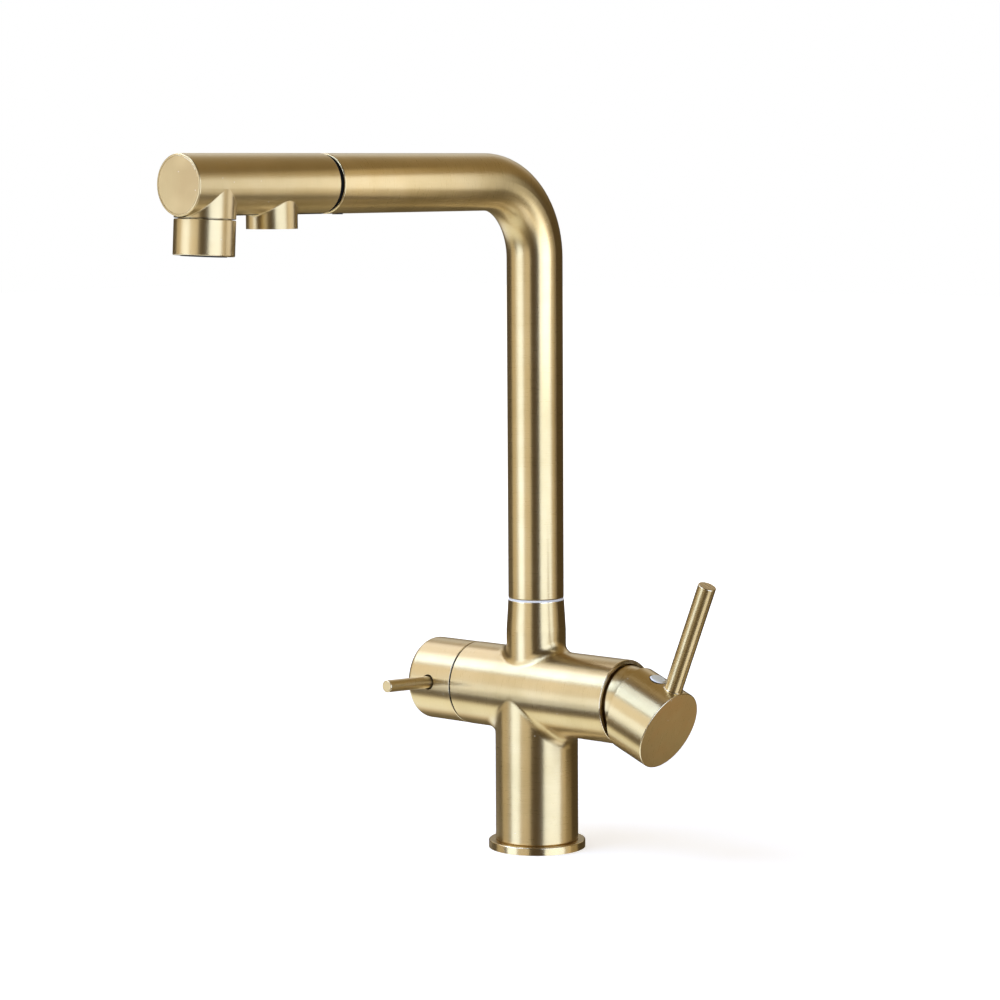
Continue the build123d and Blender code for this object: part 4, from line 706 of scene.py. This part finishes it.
# ------------------------------------------------------------------ outlet head
# The head is a short brass casting with two outlets, pushed on a brazed brass sleeve. A black
# acetal ring fills the joint, a flat disc closes its front, and a screw below clamps it.
HEAD_ROUGHNESS = 0.36            # duller than the tube, so that its lights are softer
OUTLET_LEAN = 0.15               # the outlets' walls lean no more than this
OUTLET_DROP = 2 * MM             # and lie below the arm's axis by at least this
COLLAR_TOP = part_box("aerator_collar")[1][2]
tree = new_tree("satin_gold_head")
place = add_node(tree, "TexCoord", output="Object")
z = add_node(tree, "SeparateXYZ", {0: place}, "Z")
normal = add_node(tree, "TexCoord", output="Normal")
leaning = add_node(tree, "SeparateXYZ", {0: normal}, "Z")
leaning = add_node(tree, "Math", {0: leaning}, operation="ABSOLUTE")
upright = add_node(tree, "Math", {0: leaning, 1: OUTLET_LEAN}, operation="LESS_THAN")
below = add_node(tree, "Math", {0: z, 1: ARM_HEIGHT - OUTLET_DROP}, operation="LESS_THAN")
outlet = add_node(tree, "Math", {0: upright, 1: below}, operation="MULTIPLY")
direction = add_node(tree, "Mix", {0: outlet, 4: Y_AXIS, 5: Z_AXIS}, 1, data_type="VECTOR")
along = add_node(tree, "VectorMath", {0: place, 1: direction}, "Value", operation="DOT_PRODUCT")
# The head's flat face at the collar's top gets painted shade of the joint's gap.
joint = add_node(tree, "Math", {0: z, 1: COLLAR_TOP, 2: JOINT_REACH}, operation="COMPARE")
flat = add_node(tree, "Math", {0: leaning, 1: FLAT_FACING}, operation="GREATER_THAN")
joint = add_node(tree, "Math", {0: joint, 1: flat}, operation="MULTIPLY")
satin_gold(tree, along, direction, 0.0, joint, roughness=HEAD_ROUGHNESS)

DISC_SHADED_GOLD = "#BC9F66"            # painted shade: the disc is drawn darker than the head
DISC_ROUGHNESS = 0.34
gold_disc = satin_gold_round("satin_gold_end_disc", Y_AXIS, X_AXIS, DISC_SHADED_GOLD, DISC_ROUGHNESS)
# The ring is very dark and matt, so that the joint shows as a black line.
black_acetal = moulded("black_acetal", "#040404", 0.7, 0.4 * MM, 0.004 * MM, gloss=0.1)
turned_brass_along = turned_metal(
    "machined_brass_along", BRASS, Y_AXIS, BRASS_ROUGHNESS, TOOL_MARK_PITCH)
dress(["outlet_head"], bpy.data.materials["satin_gold_head"])
dress(["head_end_cap"], gold_disc)
dress(["head_adapter"], turned_brass_along)
dress(["head_o_ring"], black_rubber)
dress(["head_spacer_ring"], black_acetal)
dress(["head_grub_screw"], black_steel)


# ------------------------------------------------------------------ outlets
# The front outlet has a turned collar that holds a black plastic aerator on a rubber washer.
# The one behind it is smaller, and has an insert of grey plastic pushed into its bore.
COLLAR_ROUGHNESS = 0.35
# The collar is about as dull as the head. Its top gets painted shade, which draws the joint
# between them.
gold_collar = satin_gold_round(
    "satin_gold_collar", Z_AXIS, X_AXIS, roughness=COLLAR_ROUGHNESS, joint_at=COLLAR_TOP)
# The aerator is dark and satin, so that the collar reads as an open end.
dark_plastic = moulded("dark_aerator_plastic", "#26282A", 0.4, 0.4 * MM, 0.004 * MM)
dress(["aerator_collar"], gold_collar)
dress(["aerator_insert"], dark_plastic)
dress(["aerator_washer"], black_rubber)
dress(["filter_outlet_insert"], grey_polyamide)


# ------------------------------------------------------------------ aerator gauze
# A disc cut from woven stainless wire lies inside the aerator, over the holes of its nose. Its
# wires go over and under each other, and catch the light as a fine grid.
GAUZE_RADIUS = 9.4 * MM
GAUZE_DEPTH = 29.55 * MM         # from the arm's axis, along the outlet
WIRE_PITCH = 0.9 * MM            # real gauze is about 0.4 mm; drawn coarser
WIRE_RADIUS = 0.12 * MM
WIRE_CORNERS = ((1, 0), (0, 1), (-1, 0), (0, -1))
STEPS_PER_PITCH = 2
FEWEST_STEPS = 4
OUTLET_TILT = radians(3.6)
OUTLET_REACH = 224.9 * MM
outlet_way = Matrix.Translation((0, -OUTLET_REACH, ARM_HEIGHT)) @ Matrix.Rotation(
    pi - OUTLET_TILT, 4, "X")


def lay_wire(mesh, offset, crossing, over):
    """One wire of the gauze, which waves over and under the wires that cross it."""
    half = (GAUZE_RADIUS ** 2 - offset ** 2) ** 0.5
    steps = max(FEWEST_STEPS, int(2 * STEPS_PER_PITCH * half / WIRE_PITCH))
    previous = None
    for step in range(steps + 1):
        run = half * (2 * step / steps - 1)
        wave = WIRE_RADIUS * cos(pi * run / WIRE_PITCH) * over
        section = []
        for across, lift in WIRE_CORNERS:
            point = [run, offset + across * WIRE_RADIUS, GAUZE_DEPTH + wave + lift * WIRE_RADIUS]
            if crossing:
                point[0], point[1] = point[1], point[0]
            section.append(mesh.verts.new(outlet_way @ Vector(point)))
        if previous:
            for corner in range(4):
                following = (corner + 1) % 4
                mesh.faces.new((
                    previous[corner], previous[following], section[following], section[corner]))
        previous = section


gauze = bmesh.new()
rows = int(GAUZE_RADIUS / WIRE_PITCH)
for crossing in (0, 1):
    for row in range(-rows, rows + 1):
        lay_wire(gauze, row * WIRE_PITCH, crossing, (-1) ** (row + crossing))
place_mesh("aerator_gauze", gauze, "spout", ground_steel)
